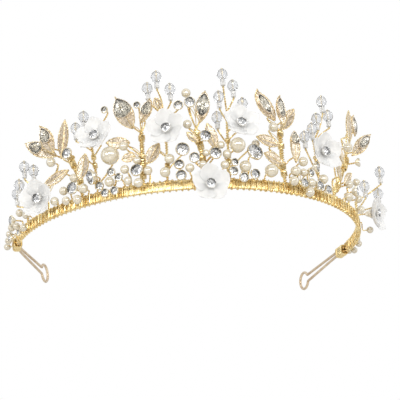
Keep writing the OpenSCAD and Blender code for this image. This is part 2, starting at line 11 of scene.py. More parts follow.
import bmesh
import bpy
import numpy as np
from mathutils import Matrix, Vector


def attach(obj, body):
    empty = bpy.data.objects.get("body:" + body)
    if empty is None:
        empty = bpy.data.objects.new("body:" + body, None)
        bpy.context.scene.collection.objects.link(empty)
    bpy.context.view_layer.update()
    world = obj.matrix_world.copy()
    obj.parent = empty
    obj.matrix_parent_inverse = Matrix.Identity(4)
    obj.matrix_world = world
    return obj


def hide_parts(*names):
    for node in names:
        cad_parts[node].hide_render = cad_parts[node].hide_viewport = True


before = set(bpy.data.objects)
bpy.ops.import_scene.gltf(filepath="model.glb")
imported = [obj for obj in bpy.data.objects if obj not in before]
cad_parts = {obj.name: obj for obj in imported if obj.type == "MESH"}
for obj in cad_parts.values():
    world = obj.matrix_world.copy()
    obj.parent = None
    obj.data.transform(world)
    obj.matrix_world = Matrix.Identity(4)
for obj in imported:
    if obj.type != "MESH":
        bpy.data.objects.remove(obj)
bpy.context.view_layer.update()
draw = random.Random(7)

# ---- sizes, as in the CAD source ----

BAND_R, BAND_H, BAND_T = 75, 3.2, 0.9
LEFT_LEN, RIGHT_LEN = 117, 138
WRAP_D, WRAP_PITCH, WRAP_GAP = 0.5, 2.5, 0.08
STEM_D, TWIG_D, PEG_D = 1.8, 0.9, 0.6
BEAD_CLEAR = 0.05
LOOP_WIRE_D, LOOP_LEN, EYE_D = 1.2, 37, 8.8
LEFT_BEND, RIGHT_BEND, LOOP_DIP = 25, 1, 4.5
LEG_GAP, LEG_SPREAD = 0.8, 1.5
FLOWER_D, PETAL_T, PETALS, FLOWER_STONE_D = 15.6, 1, 5, 3.7
CRYSTAL_D, SEED_D, SEED_LEN = 4.6, 2, 2.6
CUP_WALL, STONE_CLEAR, LEAF_T = 0.35, 0.05, 0.6
BINDING_LEN, BINDING_D, BINDING_PITCH, BINDING_TURNS = 7.5, 0.7, 0.95, 7
PAVILION, CROWN, CUP_FLOOR, GIRDLE_T = 0.38, 0.16, 0.35, 0.15
SETTING_FLOOR, SETTING_H, LEAF_STONE_H = 0.4, 1.3, 1.9
FLOWER_STALK = 3.4
STEM_SWELL = 1.2

LAYER = -BAND_T / 2
BASE_Z = BAND_H + TWIG_D / 2 + 0.05
FRONT_LAYER = WRAP_GAP + WRAP_D + 0.1 + TWIG_D / 2
OVER_BAND = BASE_Z + TWIG_D / 2 + WRAP_GAP + WRAP_D + 0.8
FIRST_FOOT = WRAP_PITCH * math.ceil((BINDING_LEN + 1.5 - LEFT_LEN) / WRAP_PITCH)
LAST_FOOT = WRAP_PITCH * math.floor((RIGHT_LEN - BINDING_LEN - 0.4) / WRAP_PITCH)
LEG_LAYER = -BAND_T - WRAP_GAP - LOOP_WIRE_D / 2
FLOWER_CUP_BACK = PETAL_T + 0.15
FLOWER_BOWL_R = 0.62 * FLOWER_D
PETAL_R = 0.29 * FLOWER_D
BORE_R = PEG_D / 2 + BEAD_CLEAR

# ---- sizes that only the looks have ----

# The fine winding of the band: its wire, and how many of its turns go to one of the coarse winding.
FINE_D, FINE_TURNS = 0.34, 3
# Ties of fine wire round a trunk: the wire, the tie's width and its turns.
TIE_D, TIE_WIDE, TIE_TURNS = 0.4, 2.2, 4
# The loose second strand beside a twig that is longer than LONG_TWIG.
SPARE_D, LONG_TWIG, SPARE_BOW = 0.32, 4, 0.12
# A twisted twig's diameter as a share of the CAD's rod, in a long twig and in a short one.
TWIG_SHARE, TWIG_SHARE_SHORT = 0.92, 0.8
TWIST_PITCH = 1.9
# A cut bead's rings: the end's radius, and the shoulder's radius and height, as shares of the bead's.
BEAD_END, BEAD_SHOULDER, BEAD_SHOULDER_Z = 0.46, 0.83, 0.6
# How far a round stone's girdle reaches past its nominal radius.
STONE_GROW = 0.1
# A pointed stone is a pear when it is wider than this share of its length, and a marquise otherwise.
PEAR_FROM = 0.55

# ---- the arrangement, as in the CAD source ----

# Trunks: [foot s, knee s, knee z, top s, top z, diameter].
T_A = [-77.5, -78, 9, -81, 13, TWIG_D + 0.3]
T_1 = [-55, -56, 13, -61, 24, STEM_D]
T_B = [-47.5, -48, 15, -49.5, 28, TWIG_D + 0.3]
T_2 = [-27.5, -27.2, 14, -27, 26, STEM_D]
T_C = [-17.5, -17, 20, -17.5, 36, TWIG_D + 0.3]
T_3 = [-2.5, -3.2, 17, -4.6, 25.5, STEM_D]
T_D = [7.5, 8, 20, 8.5, 33, TWIG_D + 0.3]
T_4 = [32.5, 31.8, 12, 32.2, 27.5, STEM_D]
T_E = [52.5, 52, 16, 51, 26, TWIG_D + 0.3]
T_5 = [62.5, 66.5, 10, 81.5, 27, STEM_D]
T_F = [97.5, 98, 8, 99, 13, TWIG_D + 0.3]

# Flowers: [s, z, out, tilt up, turn to the right], out being the back of the petals.
FLOWERS = [
    [-73.4, 7.6, 5, -5, 18],
    [-44.2, 25.6, 4.5, 18, 5],
    [-16, 23.9, 5, 5, -10],
    [-1.5, -0.5, 5, 0, 0],
    [11.8, 25, 5, 16, 0],
    [49, 18.5, 5, 0, -8],
    [98, 6.5, 6, -5, -14]
]

# Sprig crystals: [s, z, out].
CRYSTALS = {
    "a": [[-83, 25, 5], [-76.5, 21, 5], [-85, 17.5, 6.5], [-90, 15.6, 5]],
    "b": [[-50.5, 37, 2.5], [-54.5, 33, 2.5]],
    "c": [[-19, 48, 3], [-22.8, 43.4, 3], [-14, 42, 3]],
    "d": [[6.9, 47.8, 3], [10.8, 43, 3], [4.8, 38, 3], [14.2, 35.4, 3], [3.4, 29, 3]],
    "e": [[54.4, 43.3, 3], [58, 37.9, 3], [49.9, 34.4, 3], [46, 28.9, 3.5], [41.9, 24.6, 3]],
    "f": [[98, 24.7, 11], [102, 16.5, 9.5], [95, 18, 4]]
}

# Pearls: [s, z, out, diameter].
PEARLS_LEFT = [
    [-67, 21.8, 4, 4], [-55.6, 11.5, 4, 3.6], [-51.5, 6, 4, 4], [-54.5, 2, 4, 3.8],
    [-60, 3, 4, 3.6], [-61, 7.5, 4, 3.6], [-40, 6, 4, 4], [-66.4, 4.8, 3.6, 3.6],
    [-91.4, 8, 3.5, 3.4], [-86, 5, 3.5, 3], [-101.5, 5, 3.5, 3.2], [-94, 3, 4, 3.2],
    [-88.5, 0.5, 3.5, 3.2], [-105.5, 3.5, 3.5, 3], [-109.5, 2, 3.2, 3], [-113, 0.5, 3.2, 3]
]
PEARLS_CENTRE = [
    [-33.5, 10, 4, 3.6], [-24.5, 8, 4, 3.6], [-28.5, 13, 4, 3.2], [-32.5, 5, 4, 3.4],
    [-28.5, 3.5, 4, 3.8], [-33, 19.3, 5.5, 3.6], [-16, 12, 4, 4], [-18, 6.5, 4, 4.2],
    [-8.6, 7.5, 4, 3.6], [-2, 13.5, 4, 2.8], [3.9, 16.9, 4, 3.2], [6, 13, 4, 3.6],
    [-3.5, 8.7, 4, 3.2], [4.8, 8.4, 4, 3.4], [-7.9, 40, 3, 3.8], [-8.3, 26.5, 3, 3.6],
    [12.9, 8, 4, 4.8]
]
PEARLS_RIGHT = [
    [18.6, 18.6, 2.4, 3.4], [26.2, 26, 4, 4], [39, 13, 4, 4], [34.8, 8.2, 4, 4.2],
    [33.6, 3.8, 4, 4], [38.8, 8.3, 4, 3.2], [42.5, 4.5, 4, 3.6], [49.5, 7.5, 4, 4],
    [41.2, 0.2, 4, 3.8], [73.6, 28.6, 3, 4], [68.6, 10.1, 4, 3.4], [76.8, 13.6, 4, 3.2],
    [67, 4.1, 4, 3.8], [77.6, 6.4, 4, 3.4], [79, 2, 4, 3.6], [101, 0.2, 4.4, 3],
    [124, 2, 3.2, 3], [130, 1, 3.2, 3], [135, 2.5, 3.2, 3]
]
LARGE_PEARLS = [[-38.8, 16.7, 5, 7.4], [9.8, 16, 6.5, 6.2], [23.2, 6.6, 5, 5.4]]

# Round stones in cups: [s, z, out of the cup's back, diameter, tilt up, turn to the right].
ROUNDS = [
    [-58, 22.6, 3, 4.2, 0, 0], [-56, 7, 3, 4.8, 0, 0], [-46, 10, 3.5, 5.6, -20, -30],
    [-39, 10, 3, 3, 0, 0], [-36, 7, 3, 3, 0, 0], [-44.2, 5.3, 3, 3, 0, 0],
    [-42, 1.7, 3, 3, 0, 0], [-38, 2, 3, 3, 0, 0], [-40.6, 37.4, 2.6, 2.4, 0, 0],
    [-98, 7, 3, 3.8, 0, 0], [-102, 0.5, 3, 2.5, 0, 0], [-92, -0.5, 3, 2.4, 0, 0],
    [-28.5, 8.5, 3, 4.6, 0, 0], [-11, 15, 3.5, 5, 0, 0], [-6.5, 11.7, 3, 3.8, 0, 0],
    [-12.5, 9, 3, 3.6, 0, 0], [-12, 4.5, 3, 3.8, 0, 0], [-1.9, 20.7, 3, 4.2, 0, 0],
    [-6.9, 35.5, 3, 4, 0, 0], [-11.2, 34.5, 3, 3.4, 0, 0], [-27.3, 36.8, 2.4, 2.4, 0, 0],
    [1.5, 13, 3, 4.4, 0, 0], [16.1, 13.3, 3.5, 6.4, 12, 10], [8.7, 9.5, 3, 2.7, 0, 0],
    [7.9, 5.7, 3, 3.2, 0, 0], [12, 3.3, 3, 3.4, 0, 0], [16.4, 4.9, 3, 3.6, 0, 0],
    [38.4, 3.5, 3, 3.4, 0, 0], [42.3, 8.6, 3, 2.8, 0, 0], [45, 12, 3, 4, 0, 30],
    [46.5, 4, 3, 3.6, 0, 0], [51.5, 3.5, 3, 3.2, 0, 0], [73.2, 8.4, 3, 4.2, 0, 15],
    [81.9, 24.3, 3, 3.2, 0, 20], [127, 5, 2.5, 3.6, 0, 0]
]

# Filigree leaves: [base s, base z, out, tip to the right of the base, tip above it, width,
# turn to the right].
LEAVES = [
    [-61.7, 22, 3, 3.4, 15.8, 5.8, 0], [-59, 16.3, 2.2, -13, -3.5, 4.8, 0],
    [-50.5, 21.1, 2.4, -2.5, -11.3, 5.6, 0], [-31.1, 21.3, 2.6, -9.6, 1.2, 5, 0],
    [-29.4, 15.6, 2.4, -5.4, -1, 4, 0], [-19.7, 19.5, 2.4, -5.5, -8.5, 5, 0],
    [-18.3, 33.8, 2.2, -1.7, 5.2, 3.6, 0], [-4.5, 18.5, 2.4, -4.5, 4.5, 3, 0],
    [2.4, 15.8, 1.4, -3, 11.2, 4.6, 0], [27.8, 18, 4.6, -11.2, 2.2, 4.8, 0],
    [30.1, 11, 2.4, -9.3, 3.4, 4.8, 0], [30.9, 26.2, 1.8, 6.6, 9.7, 5.2, 0],
    [66.4, 18.8, 3, -5.4, 7.8, 4.4, 0], [62.8, 10.4, 3, -2.9, 7.8, 4, 0],
    [75.1, 30.8, 3, 1.2, 15.3, 5, -12], [68.7, 10.6, 1.4, 6.4, 6.7, 4, 0]
]

# Filigree leaves that carry a pointed stone: the same, then [stone length, stone width,
# distance from the base to the middle of the stone as a share of the leaf's length].
STONE_LEAVES = [
    [-65, 24.1, 2.4, -13.4, 7.8, 6.4, 25, 6, 4.4, 0.68],
    [-64.4, 24.6, 4.8, -5.4, 13.2, 6.2, 12, 6.8, 4.2, 0.66],
    [-29.5, 27, 3, -6.1, 14.1, 7.6, 0, 8.6, 6.6, 0.68],
    [-26, 28.6, 3.7, 4.6, 9.6, 4.8, 0, 6, 3.4, 0.62],
    [-3.4, 26.8, 3, 3, 13.6, 5.6, 0, 10.2, 4.9, 0.54],
    [27.6, 29.1, 3, -8.3, 12.2, 6.8, 0, 9.2, 3.8, 0.56],
    [30.5, 26.2, 4.8, -1.7, 13.1, 4.8, 0, 8.4, 3.2, 0.62],
    [35.9, 12.2, 3, 0.2, 13.8, 5, 0, 4.8, 3.4, 0.78],
    [85.4, 37.6, 3, -1, 9.3, 3.6, -15, 7.4, 2.6, 0.5],
    [77.2, 25.9, 3, 10.9, 11.1, 5.4, -35, 8, 3.6, 0.64]
]

# Wires: [CAD node, its stretch of the base wire, [from s, to s, trunk, its sprig crystals] ...].
WIRES = [
    ["wires_left_end", (FIRST_FOOT - 1, -66), [-117, -66, T_A, "a"]],
    ["wires_spray_1", (-66, -36), [-66, -51, T_1, ""], [-51, -36, T_B, "b"]],
    ["wires_spray_2", (-36, -9.5), [-36, -20.5, T_2, ""], [-20.5, -9.5, T_C, "c"]],
    ["wires_centre", (-9.5, 20), [-9.5, 4, T_3, ""], [4, 20, T_D, "d"]],
    ["wires_spray_4", (20, 42), [20, 42, T_4, ""]],
    ["wires_spray_5", (42, 92), [42, 57, T_E, "e"], [57, 92, T_5, ""]],
    ["wires_right_end", (92, LAST_FOOT + 0.5), [92, 138, T_F, "f"]]
]

# ---- places ----


def place(s, z, out):
    angle = s / BAND_R
    return np.array([(BAND_R + out) * math.sin(angle), -(BAND_R + out) * math.cos(angle), z])


def turned(degrees, axis):
    return Matrix.Rotation(math.radians(degrees), 4, axis)


def at(s, z, out):
    """The frame at s, z, out: Z up and -Y outward."""
    return Matrix.Rotation(s / BAND_R, 4, "Z") @ Matrix.Translation((0, -(BAND_R + out), z))


def facing(s, z, out, up=0, right=0):
    """The frame at s, z, out: X to the right, Y up and Z outward."""
    return at(s, z, out) @ turned(90, "X") @ turned(right, "Y") @ turned(-up, "X")


def foot(s):
    return min(LAST_FOOT, max(FIRST_FOOT, WRAP_PITCH * math.floor(s / WRAP_PITCH + 0.5)))


def trunk_s(t, z):
    if z < t[2]:
        return t[0] + (t[1] - t[0]) * max(0, z - OVER_BAND) / (t[2] - OVER_BAND)
    return t[1] + (t[3] - t[1]) * (z - t[2]) / (t[4] - t[2])


def fork_z(t, s, z):
    return min(t[4], z - abs(s - trunk_s(t, min(z, t[4]))))


# ---- meshes ----


class Shape:
    """Gathers surfaces in millimetres for one piece."""

    def __init__(self):
        self.points, self.faces, self.marks, self.count = [], [], [], 0

    def add(self, surface, matrix=None, mark=0):
        points, faces = np.asarray(surface[0], float), surface[1]
        if matrix is not None:
            m = np.array(matrix)
            points = points @ m[:3, :3].T + m[:3, 3]
        self.points.append(points)
        self.faces += [[i + self.count for i in face] for face in faces]
        self.marks += [mark] * len(faces)
        self.count += len(points)


def make(name, shape, materials, nodes, body="root", smooth=35):
    """The piece that stands for some CAD nodes. smooth is the angle up to which edges are smoothed."""
    mesh = bpy.data.meshes.new(name)
    mesh.from_pydata((np.vstack(shape.points) / 1000).tolist(), [], shape.faces)
    for material in materials:
        mesh.materials.append(material)
    mesh.polygons.foreach_set("material_index", shape.marks)
    bm = bmesh.new()
    bm.from_mesh(mesh)
    bmesh.ops.remove_doubles(bm, verts=bm.verts, dist=1e-7)
    bmesh.ops.recalc_face_normals(bm, faces=bm.faces)
    bm.to_mesh(mesh)
    bm.free()
    mesh.polygons.foreach_set("use_smooth", [smooth > 0] * len(mesh.polygons))
    if smooth:
        mesh.set_sharp_from_angle(angle=math.radians(smooth))
    piece = bpy.data.objects.new(name, mesh)
    bpy.context.scene.collection.objects.link(piece)
    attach(piece, body)
    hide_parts(*nodes)
    return piece


def unit(v):
    return v / np.linalg.norm(v, axis=-1, keepdims=True)


def side_directions(path):
    """Two directions across a path at each of its points, which turn as little as they can."""
    along = unit(np.gradient(path, axis=0))
    first = np.cross(along[0], (0, 0, 1) if abs(along[0][2]) < 0.8 else (1, 0, 0))
    sides = [unit(first)]
    for direction in along[1:]:
        sides.append(unit(sides[-1] - direction * (sides[-1] @ direction)))
    sides = np.array(sides)
    return sides, np.cross(along, sides)


def lengths(path):
    return np.append(0, np.cumsum(np.linalg.norm(np.diff(path, axis=0), axis=1)))


def resampled(path, step):
    path = np.asarray(path, float)
    run = lengths(path)
    count = max(3, int(run[-1] / step) + 2)
    wanted = np.linspace(0, run[-1], count)
    return np.stack([np.interp(wanted, run, path[:, i]) for i in range(3)], axis=1)


def rounded(corners, bend, step=0.3):
    """A path from corner to corner that cuts each inner corner off in a curve."""
    corners = [np.asarray(c, float) for c in corners]
    path = [corners[0]]
    for before, corner, after in zip(corners, corners[1:], corners[2:]):
        to_before, to_after = before - corner, after - corner
        cut = min(bend, np.linalg.norm(to_before) / 2, np.linalg.norm(to_after) / 2)
        a, b = corner + cut * unit(to_before), corner + cut * unit(to_after)
        path += [(1 - u) ** 2 * a + 2 * u * (1 - u) * corner + u * u * b
                 for u in np.linspace(0, 1, 8)]
    return resampled(path + [corners[-1]], step)


def rings(stack, cap=True):
    """The skin over a stack of rings with the same number of points, closed at both ends."""
    stack = np.asarray(stack, float)
    rows, sides = stack.shape[:2]
    faces = []
    for i in range(rows - 1):
        for j in range(sides):
            k = (j + 1) % sides
            faces.append((i * sides + j, i * sides + k, (i + 1) * sides + k, (i + 1) * sides + j))
    if cap:
        faces.append(tuple(range(sides)))
        faces.append(tuple(range((rows - 1) * sides, rows * sides)))
    return stack.reshape(-1, 3), faces


def circle(sides, start=0):
    angles = start + np.arange(sides) * 2 * math.pi / sides
    return np.cos(angles), np.sin(angles)


def ring(sides, radius, z, start=0):
    return [(radius * a, radius * b, z) for a, b in zip(*circle(sides, start))]


def tube(path, radius, sides=6):
    path = np.asarray(path, float)
    a, b = side_directions(path)
    x, y = circle(sides)
    radius = np.broadcast_to(radius, len(path))[:, None, None]
    return rings(path[:, None] + radius * (x[None, :, None] * a[:, None] + y[None, :, None] * b[:, None]))


def lathe(profile, sides=32, cap=True):
    """A profile of (radius, height) turned round Z."""
    x, y = circle(sides)
    return rings([[(r * cx, r * cy, z) for cx, cy in zip(x, y)] for r, z in profile], cap)


def lobed(profile, lobe):
    """A closed wall of (radius, height, rise) turned round Z, which rises by its rise at each lobe."""
    x, y = circle(len(lobe))
    stack = [[(r * a, r * b, z + rise * up) for a, b, up in zip(x, y, lobe)] for r, z, rise in profile]
    return rings(stack + [stack[0]], cap=False)


def bored(profile, bore, sides=32):
    """A turned bead with a hole of radius bore through it."""
    low, high = profile[0][1], profile[-1][1]
    loop = [(bore, low)] + list(profile) + [(bore, high), (bore, low)]
    return lathe(loop, sides, cap=False)


def strands(path, radius, pitch):
    """The centre lines of two wires of that radius twisted together along a path."""
    path = resampled(path, pitch / 7)
    a, b = side_directions(path)
    run = lengths(path)
    for k in range(2):
        angle = (2 * math.pi * (run / pitch + k / 2))[:, None]
        yield path + radius * (np.cos(angle) * a + np.sin(angle) * b)


def add_twist(shape, path, d):
    """A twig of two wires twisted together, about d across."""
    for line in strands(path, d / 4, TWIST_PITCH):
        shape.add(tube(line, d / 4, 5))


def add_coiled(shape, path, d, wire_d, pitch):
    """A stem wound with fine wire: a core and its coil, d across in all at each point of the path."""
    fine = resampled(path, pitch / 10)
    d = np.interp(lengths(fine), lengths(path), d)
    shape.add(tube(fine[::4], d[::4] / 2 - wire_d * 0.8, 8))
    a, b = side_directions(fine)
    angle = 2 * math.pi * lengths(fine) / pitch
    reach = (d - wire_d) / 2 * (1 + 0.06 * np.sin(angle * 0.31))
    coil_line = fine + (reach * np.cos(angle))[:, None] * a + (reach * np.sin(angle))[:, None] * b
    shape.add(tube(coil_line, wire_d / 2, 5))


# ---- wires ----


def add_knot(shape, s):
    """Turns of fine wire round the base wire, where a twig or a stem leaves it."""
    turns, wide, fine = 3.2, 1.5, 0.42
    t = np.linspace(0, 1, 36)
    angle = 2 * math.pi * turns * t + draw.uniform(0, 6)
    r = (TWIG_D + fine) / 2
    line = [place(s + wide * (u - 0.5), BASE_Z + r * math.sin(g), LAYER + r * math.cos(g))
            for u, g in zip(t, angle)]
    shape.add(tube(line, fine / 2, 5))


def add_tie(shape, t, z):
    """Turns of fine wire round a trunk, where a twig leaves it."""
    low, high = (place(trunk_s(t, h), h, LAYER) for h in (z - TIE_WIDE / 2, z + TIE_WIDE / 2))
    u = np.linspace(0, 1, 40)[:, None]
    a, b = side_directions(np.array([low, high]))
    angle = 2 * math.pi * TIE_TURNS * u + z
    r = (t[5] * STEM_SWELL + TIE_D) / 2
    shape.add(tube(low + (high - low) * u + r * (np.cos(angle) * a[0] + np.sin(angle) * b[0]), TIE_D / 2, 5))


def add_spare_wire(shape, a, b):
    """The loose second strand that runs beside a long twig, bowed away from it."""
    middle = (a + b) / 2 + np.array([SPARE_BOW, 0, SPARE_BOW]) * np.linalg.norm(b - a)
    shape.add(tube(rounded([a, middle, b], 3), SPARE_D / 2, 5))


def bowed(a, b, amount):
    """A point between two ends of a hand-bent wire, a little off the straight line."""
    middle = (a + b) / 2
    reach = amount * np.linalg.norm(b - a)
    return middle + np.array([draw.uniform(-1, 1) * reach, 0, draw.uniform(-1, 1) * reach])


def add_carrier(shape, t, s, z, out, d=PEG_D):
    """The wire that carries something at s, z, out, from the trunk or from the base wire."""
    zf = fork_z(t, s, z)
    if z < OVER_BAND:
        f = foot(s)
        corners = [place(f, BASE_Z, LAYER), place(f, BASE_Z, FRONT_LAYER),
                   place(s, z, FRONT_LAYER), place(s, z, out)]
        add_knot(shape, f)
        add_twist(shape, rounded(corners, 0.6), d)
        return
    start = place(foot(s), BASE_Z, LAYER)
    if zf > OVER_BAND + 1:
        start = place(trunk_s(t, zf), zf, LAYER)
        add_tie(shape, t, min(zf, t[4] - TIE_WIDE))
    else:
        add_knot(shape, foot(s))
    knee = place(s, z, LAYER)
    reach = np.linalg.norm(knee - start)
    if reach > LONG_TWIG:
        add_spare_wire(shape, start, knee)
    if reach > 1:
        corners = [start, bowed(start, knee, 0.05), knee, place(s, z, out)]
        add_twist(shape, rounded(corners, 1.6), TWIG_D * TWIG_SHARE)
    else:
        add_twist(shape, rounded([knee, place(s, z, out)], 1), TWIG_D * TWIG_SHARE_SHORT)


def add_crystal_pin(shape, t, c):
    low = c[1] - CRYSTAL_D / 2 - SEED_LEN - 0.6
    top = CRYSTAL_D + SEED_LEN + 1.3
    zf = max(OVER_BAND + 0.5, fork_z(t, c[0], low))
    start, end = place(trunk_s(t, zf), zf, LAYER), place(c[0], low, c[2])
    add_twist(shape, rounded([start, bowed(start, end, 0.06), end], 3), TWIG_D * TWIG_SHARE)
    shape.add(lathe([
        (0.02, -0.35), (0.4, -0.25), (0.5, 0), (0.42, 0.2), (0.24, 0.24), (0.24, top - 0.5),
        (0.36, top - 0.42), (0.36, top - 0.25), (0.2, top - 0.1), (0.02, top - 0.08)
    ], 12), at(c[0], low, c[2]))


def leaf_grip(leaf):
    """Where a leaf is carried: a fifth of the way up from its base."""
    s, z, out, x, y, _, turn = leaf[:7]
    t = math.radians(turn)
    return s + 0.2 * x * math.cos(t), z + 0.2 * y, out - 0.2 * x * math.sin(t)


def add_trunk(shape, t):
    path = rounded([
        place(t[0], BASE_Z, LAYER), place(t[0], OVER_BAND, LAYER),
        place(t[1], t[2], LAYER), place(t[3], t[4], LAYER)
    ], 4)
    d = np.interp(path[:, 2], (OVER_BAND, OVER_BAND + 3), (t[5], t[5] * STEM_SWELL))
    thick = t[5] > 1.5
    add_coiled(shape, path, d, 0.62 if thick else 0.42, 0.98 if thick else 1.1)
    for side in (-1, 1):
        add_knot(shape, t[0] + side * 0.9)


def add_flower_stalk(shape, t, f):
    s, z, out, up, right = f
    tilt, swing = math.radians(up), math.radians(right)
    root = (s - FLOWER_STALK * math.cos(tilt) * math.sin(swing), z - FLOWER_STALK * math.sin(tilt),
            out - FLOWER_STALK * math.cos(tilt) * math.cos(swing))
    add_carrier(shape, t, *root, PEG_D + 0.12)
    rod = [(PEG_D / 2, -FLOWER_STALK), (PEG_D / 2, FLOWER_CUP_BACK)]
    shape.add(lathe(rod, 10), facing(s, z, out, up, right))


def between(items, a, b):
    return [item for item in items if a <= item[0] < b]


def wires(node, stretch, *zones):
    shape = Shape()
    a, b = stretch
    ss = np.linspace(a + 0.05, b - 0.05, int((b - a) * 1.5))
    shape.add(tube([place(s, BASE_Z + 0.06 * math.sin(2.1 * s), LAYER) for s in ss], TWIG_D / 2, 8))
    for low, high, t, sprig in zones:
        add_trunk(shape, t)
        for p in between(PEARLS_LEFT + PEARLS_CENTRE + PEARLS_RIGHT + LARGE_PEARLS, low, high):
            add_carrier(shape, t, p[0], p[1], p[2] + 0.1 * p[3])
        for c in between(ROUNDS, low, high):
            add_carrier(shape, t, c[0], c[1], c[2])
        for leaf in between(LEAVES + STONE_LEAVES, low, high):
            add_carrier(shape, t, *leaf_grip(leaf))
        for c in CRYSTALS.get(sprig, []):
            add_crystal_pin(shape, t, c)
        for f in between(FLOWERS, low, high):
            add_flower_stalk(shape, t, f)
    make(node.replace("wires", "stems"), shape, [gold_wire], [node])


# ---- band ----


def boxed(angle, half_wide, half_high):
    """A point on a rectangle with well-rounded corners, at an angle round its middle."""
    c, s = math.cos(angle), math.sin(angle)
    return half_wide * math.copysign(math.sqrt(abs(c)), c), half_high * math.copysign(math.sqrt(abs(s)), s)


def band():
    shape = Shape()
    rows = []
    for s in np.linspace(-LEFT_LEN, RIGHT_LEN, 320):
        ring = []
        for k in range(16):
            x, z = boxed(2 * math.pi * (k + 0.5) / 16, BAND_T / 2, BAND_H / 2)
            ring.append(place(s, BAND_H / 2 + z * (1 - 0.012 * math.sin(1.7 * s)), LAYER + x))
        rows.append(ring)
    shape.add(rings(rows))
    make("band_core", shape, [gold_strip], ["band_strip"])


def coil(s0, s1, pitch, wire_d, middle, half, steps=26, jitter=0.0):
    """A wire wound round the band from s0 to s1, on a rounded rectangle in out and z."""
    turns = abs(s1 - s0) / pitch
    path, wobble = [], 0
    for k in range(int(turns * steps) + 1):
        angle = 2 * math.pi * k / steps
        if k % steps == 0:
            wobble = draw.uniform(-jitter, jitter)
        x, z = boxed(angle, *half)
        path.append(place(s0 + (s1 - s0) * k / (turns * steps) + wobble * math.sin(angle / 2) ** 2,
                          middle[1] + z, middle[0] + x))
    return tube(path, wire_d / 2, 7)


def band_wrap():
    shape = Shape()
    high = BASE_Z + TWIG_D / 2
    half_wide = max(BAND_T, TWIG_D) / 2 + WRAP_GAP + WRAP_D / 2
    first = math.ceil((BINDING_LEN - LEFT_LEN) / WRAP_PITCH) + 0.5
    last = math.floor((RIGHT_LEN - BINDING_LEN) / WRAP_PITCH) - 0.5
    shape.add(coil(first * WRAP_PITCH, last * WRAP_PITCH, WRAP_PITCH, WRAP_D, (LAYER, high / 2),
                   (half_wide, high / 2 + WRAP_GAP + WRAP_D / 2), jitter=0.25))
    shape.add(coil(first * WRAP_PITCH, last * WRAP_PITCH, WRAP_PITCH / FINE_TURNS, FINE_D, (LAYER, high / 2),
                   (half_wide - WRAP_D / 2 - 0.02, high / 2 + 0.04), steps=16, jitter=0.12))
    make("band_winding", shape, [gold_wire], ["band_wrap_wire"])


def end_binding(name, node, s0, direction):
    shape = Shape()
    deep = BAND_T + LOOP_WIRE_D + WRAP_GAP
    length = BINDING_PITCH * BINDING_TURNS
    shape.add(coil(s0 - direction * 0.6, s0 - direction * (0.6 + length), BINDING_PITCH, BINDING_D,
                   (-deep / 2, BAND_H / 2),
                   (deep / 2 + WRAP_GAP + BINDING_D / 2, BAND_H / 2 + WRAP_GAP + BINDING_D / 2)))
    make(name, shape, [gold_wire], [node])


def pin_loop(name, node, s0, direction, bend):
    eye_r = (EYE_D - LOOP_WIRE_D) / 2
    eye_x = LOOP_LEN - EYE_D / 2
    start = math.asin(LEG_SPREAD / eye_r)
    swing = bend if direction > 0 else 180 - bend
    local = np.array(at(s0, BAND_H / 2, LEG_LAYER) @ turned(swing, "Z") @ turned(LOOP_DIP, "Y"))
    eye = [(eye_x + eye_r * math.cos(g), 0, eye_r * math.sin(g))
           for g in np.linspace(math.pi - start, start - math.pi, 40)]
    neck = eye_x - eye_r * math.cos(start)
    legs = [[place(s0 - direction * u, BAND_H / 2 + side * LEG_GAP, LEG_LAYER)
             for u in (BINDING_LEN - 0.5, 4, 1)] for side in (1, -1)]
    straight = [(6, 0, LEG_GAP * 1.15), (neck - 6, 0, LEG_SPREAD * 0.9)]
    points = straight + eye + [(x, 0, -z) for x, _, z in reversed(straight)]
    points = [local[:3, :3] @ np.array(p) + local[:3, 3] for p in points]
    path = rounded(legs[0] + points + legs[1][::-1], 2.5, 0.5)
    shape = Shape()
    shape.add(tube(path, LOOP_WIRE_D / 2, 12))
    make(name, shape, [pale_gold_wire], [node])


# ---- flowers ----


def petal(k):
    """One petal, a thin cupped shell whose edge is rounded and lies over its neighbour's."""
    rows, columns = 15, 17
    middle = FLOWER_D / 2 - PETAL_R
    near, far, flat_from = 0.5, FLOWER_D / 2, 8
    wave, lean = draw.uniform(0, 6), draw.uniform(-0.15, 0.15)
    angle = math.radians(90 + 360 * k / PETALS)
    points = []
    for skin in (-1, 1):
        for i in range(rows):
            x = near + (far - near) * math.sin(math.pi / 2 * i / (rows - 1))
            round_edge = math.sqrt(max(0, PETAL_R ** 2 - (x - middle) ** 2))
            half_wide = min(round_edge, 1.0 + 1.15 * x) * (1 - 0.1 * (x / far) ** 2)
            for j in range(columns):
                v = math.sin(math.pi / 2 * (2 * j / (columns - 1) - 1))
                y = v * half_wide
                share = x / far
                bowl = FLOWER_BOWL_R - math.sqrt(FLOWER_BOWL_R ** 2 - min(x * x + y * y, flat_from ** 2))
                edge = max(abs(v), (i / (rows - 1)) ** 2)
                thick = 0.62 * math.sqrt(max(0, 1 - edge ** 6))
                z = bowl * 0.92 + 0.45 + (0.5 + lean) * v * share + 0.3 * v * v * share
                z += 0.13 * math.sin(3.1 * v + wave) * share ** 2 - 0.35 * share ** 6 + skin * thick / 2
                points.append((x * math.cos(angle) - y * math.sin(angle),
                               x * math.sin(angle) + y * math.cos(angle), z))
    faces = []
    for skin in range(2):
        for i in range(rows - 1):
            for j in range(columns - 1):
                a = (skin * rows + i) * columns + j
                faces.append((a, a + 1, a + columns + 1, a + columns))
    ends = rows * columns
    faces += [(j, j + 1, ends + j + 1, ends + j) for j in range(columns - 1)]
    return points, faces


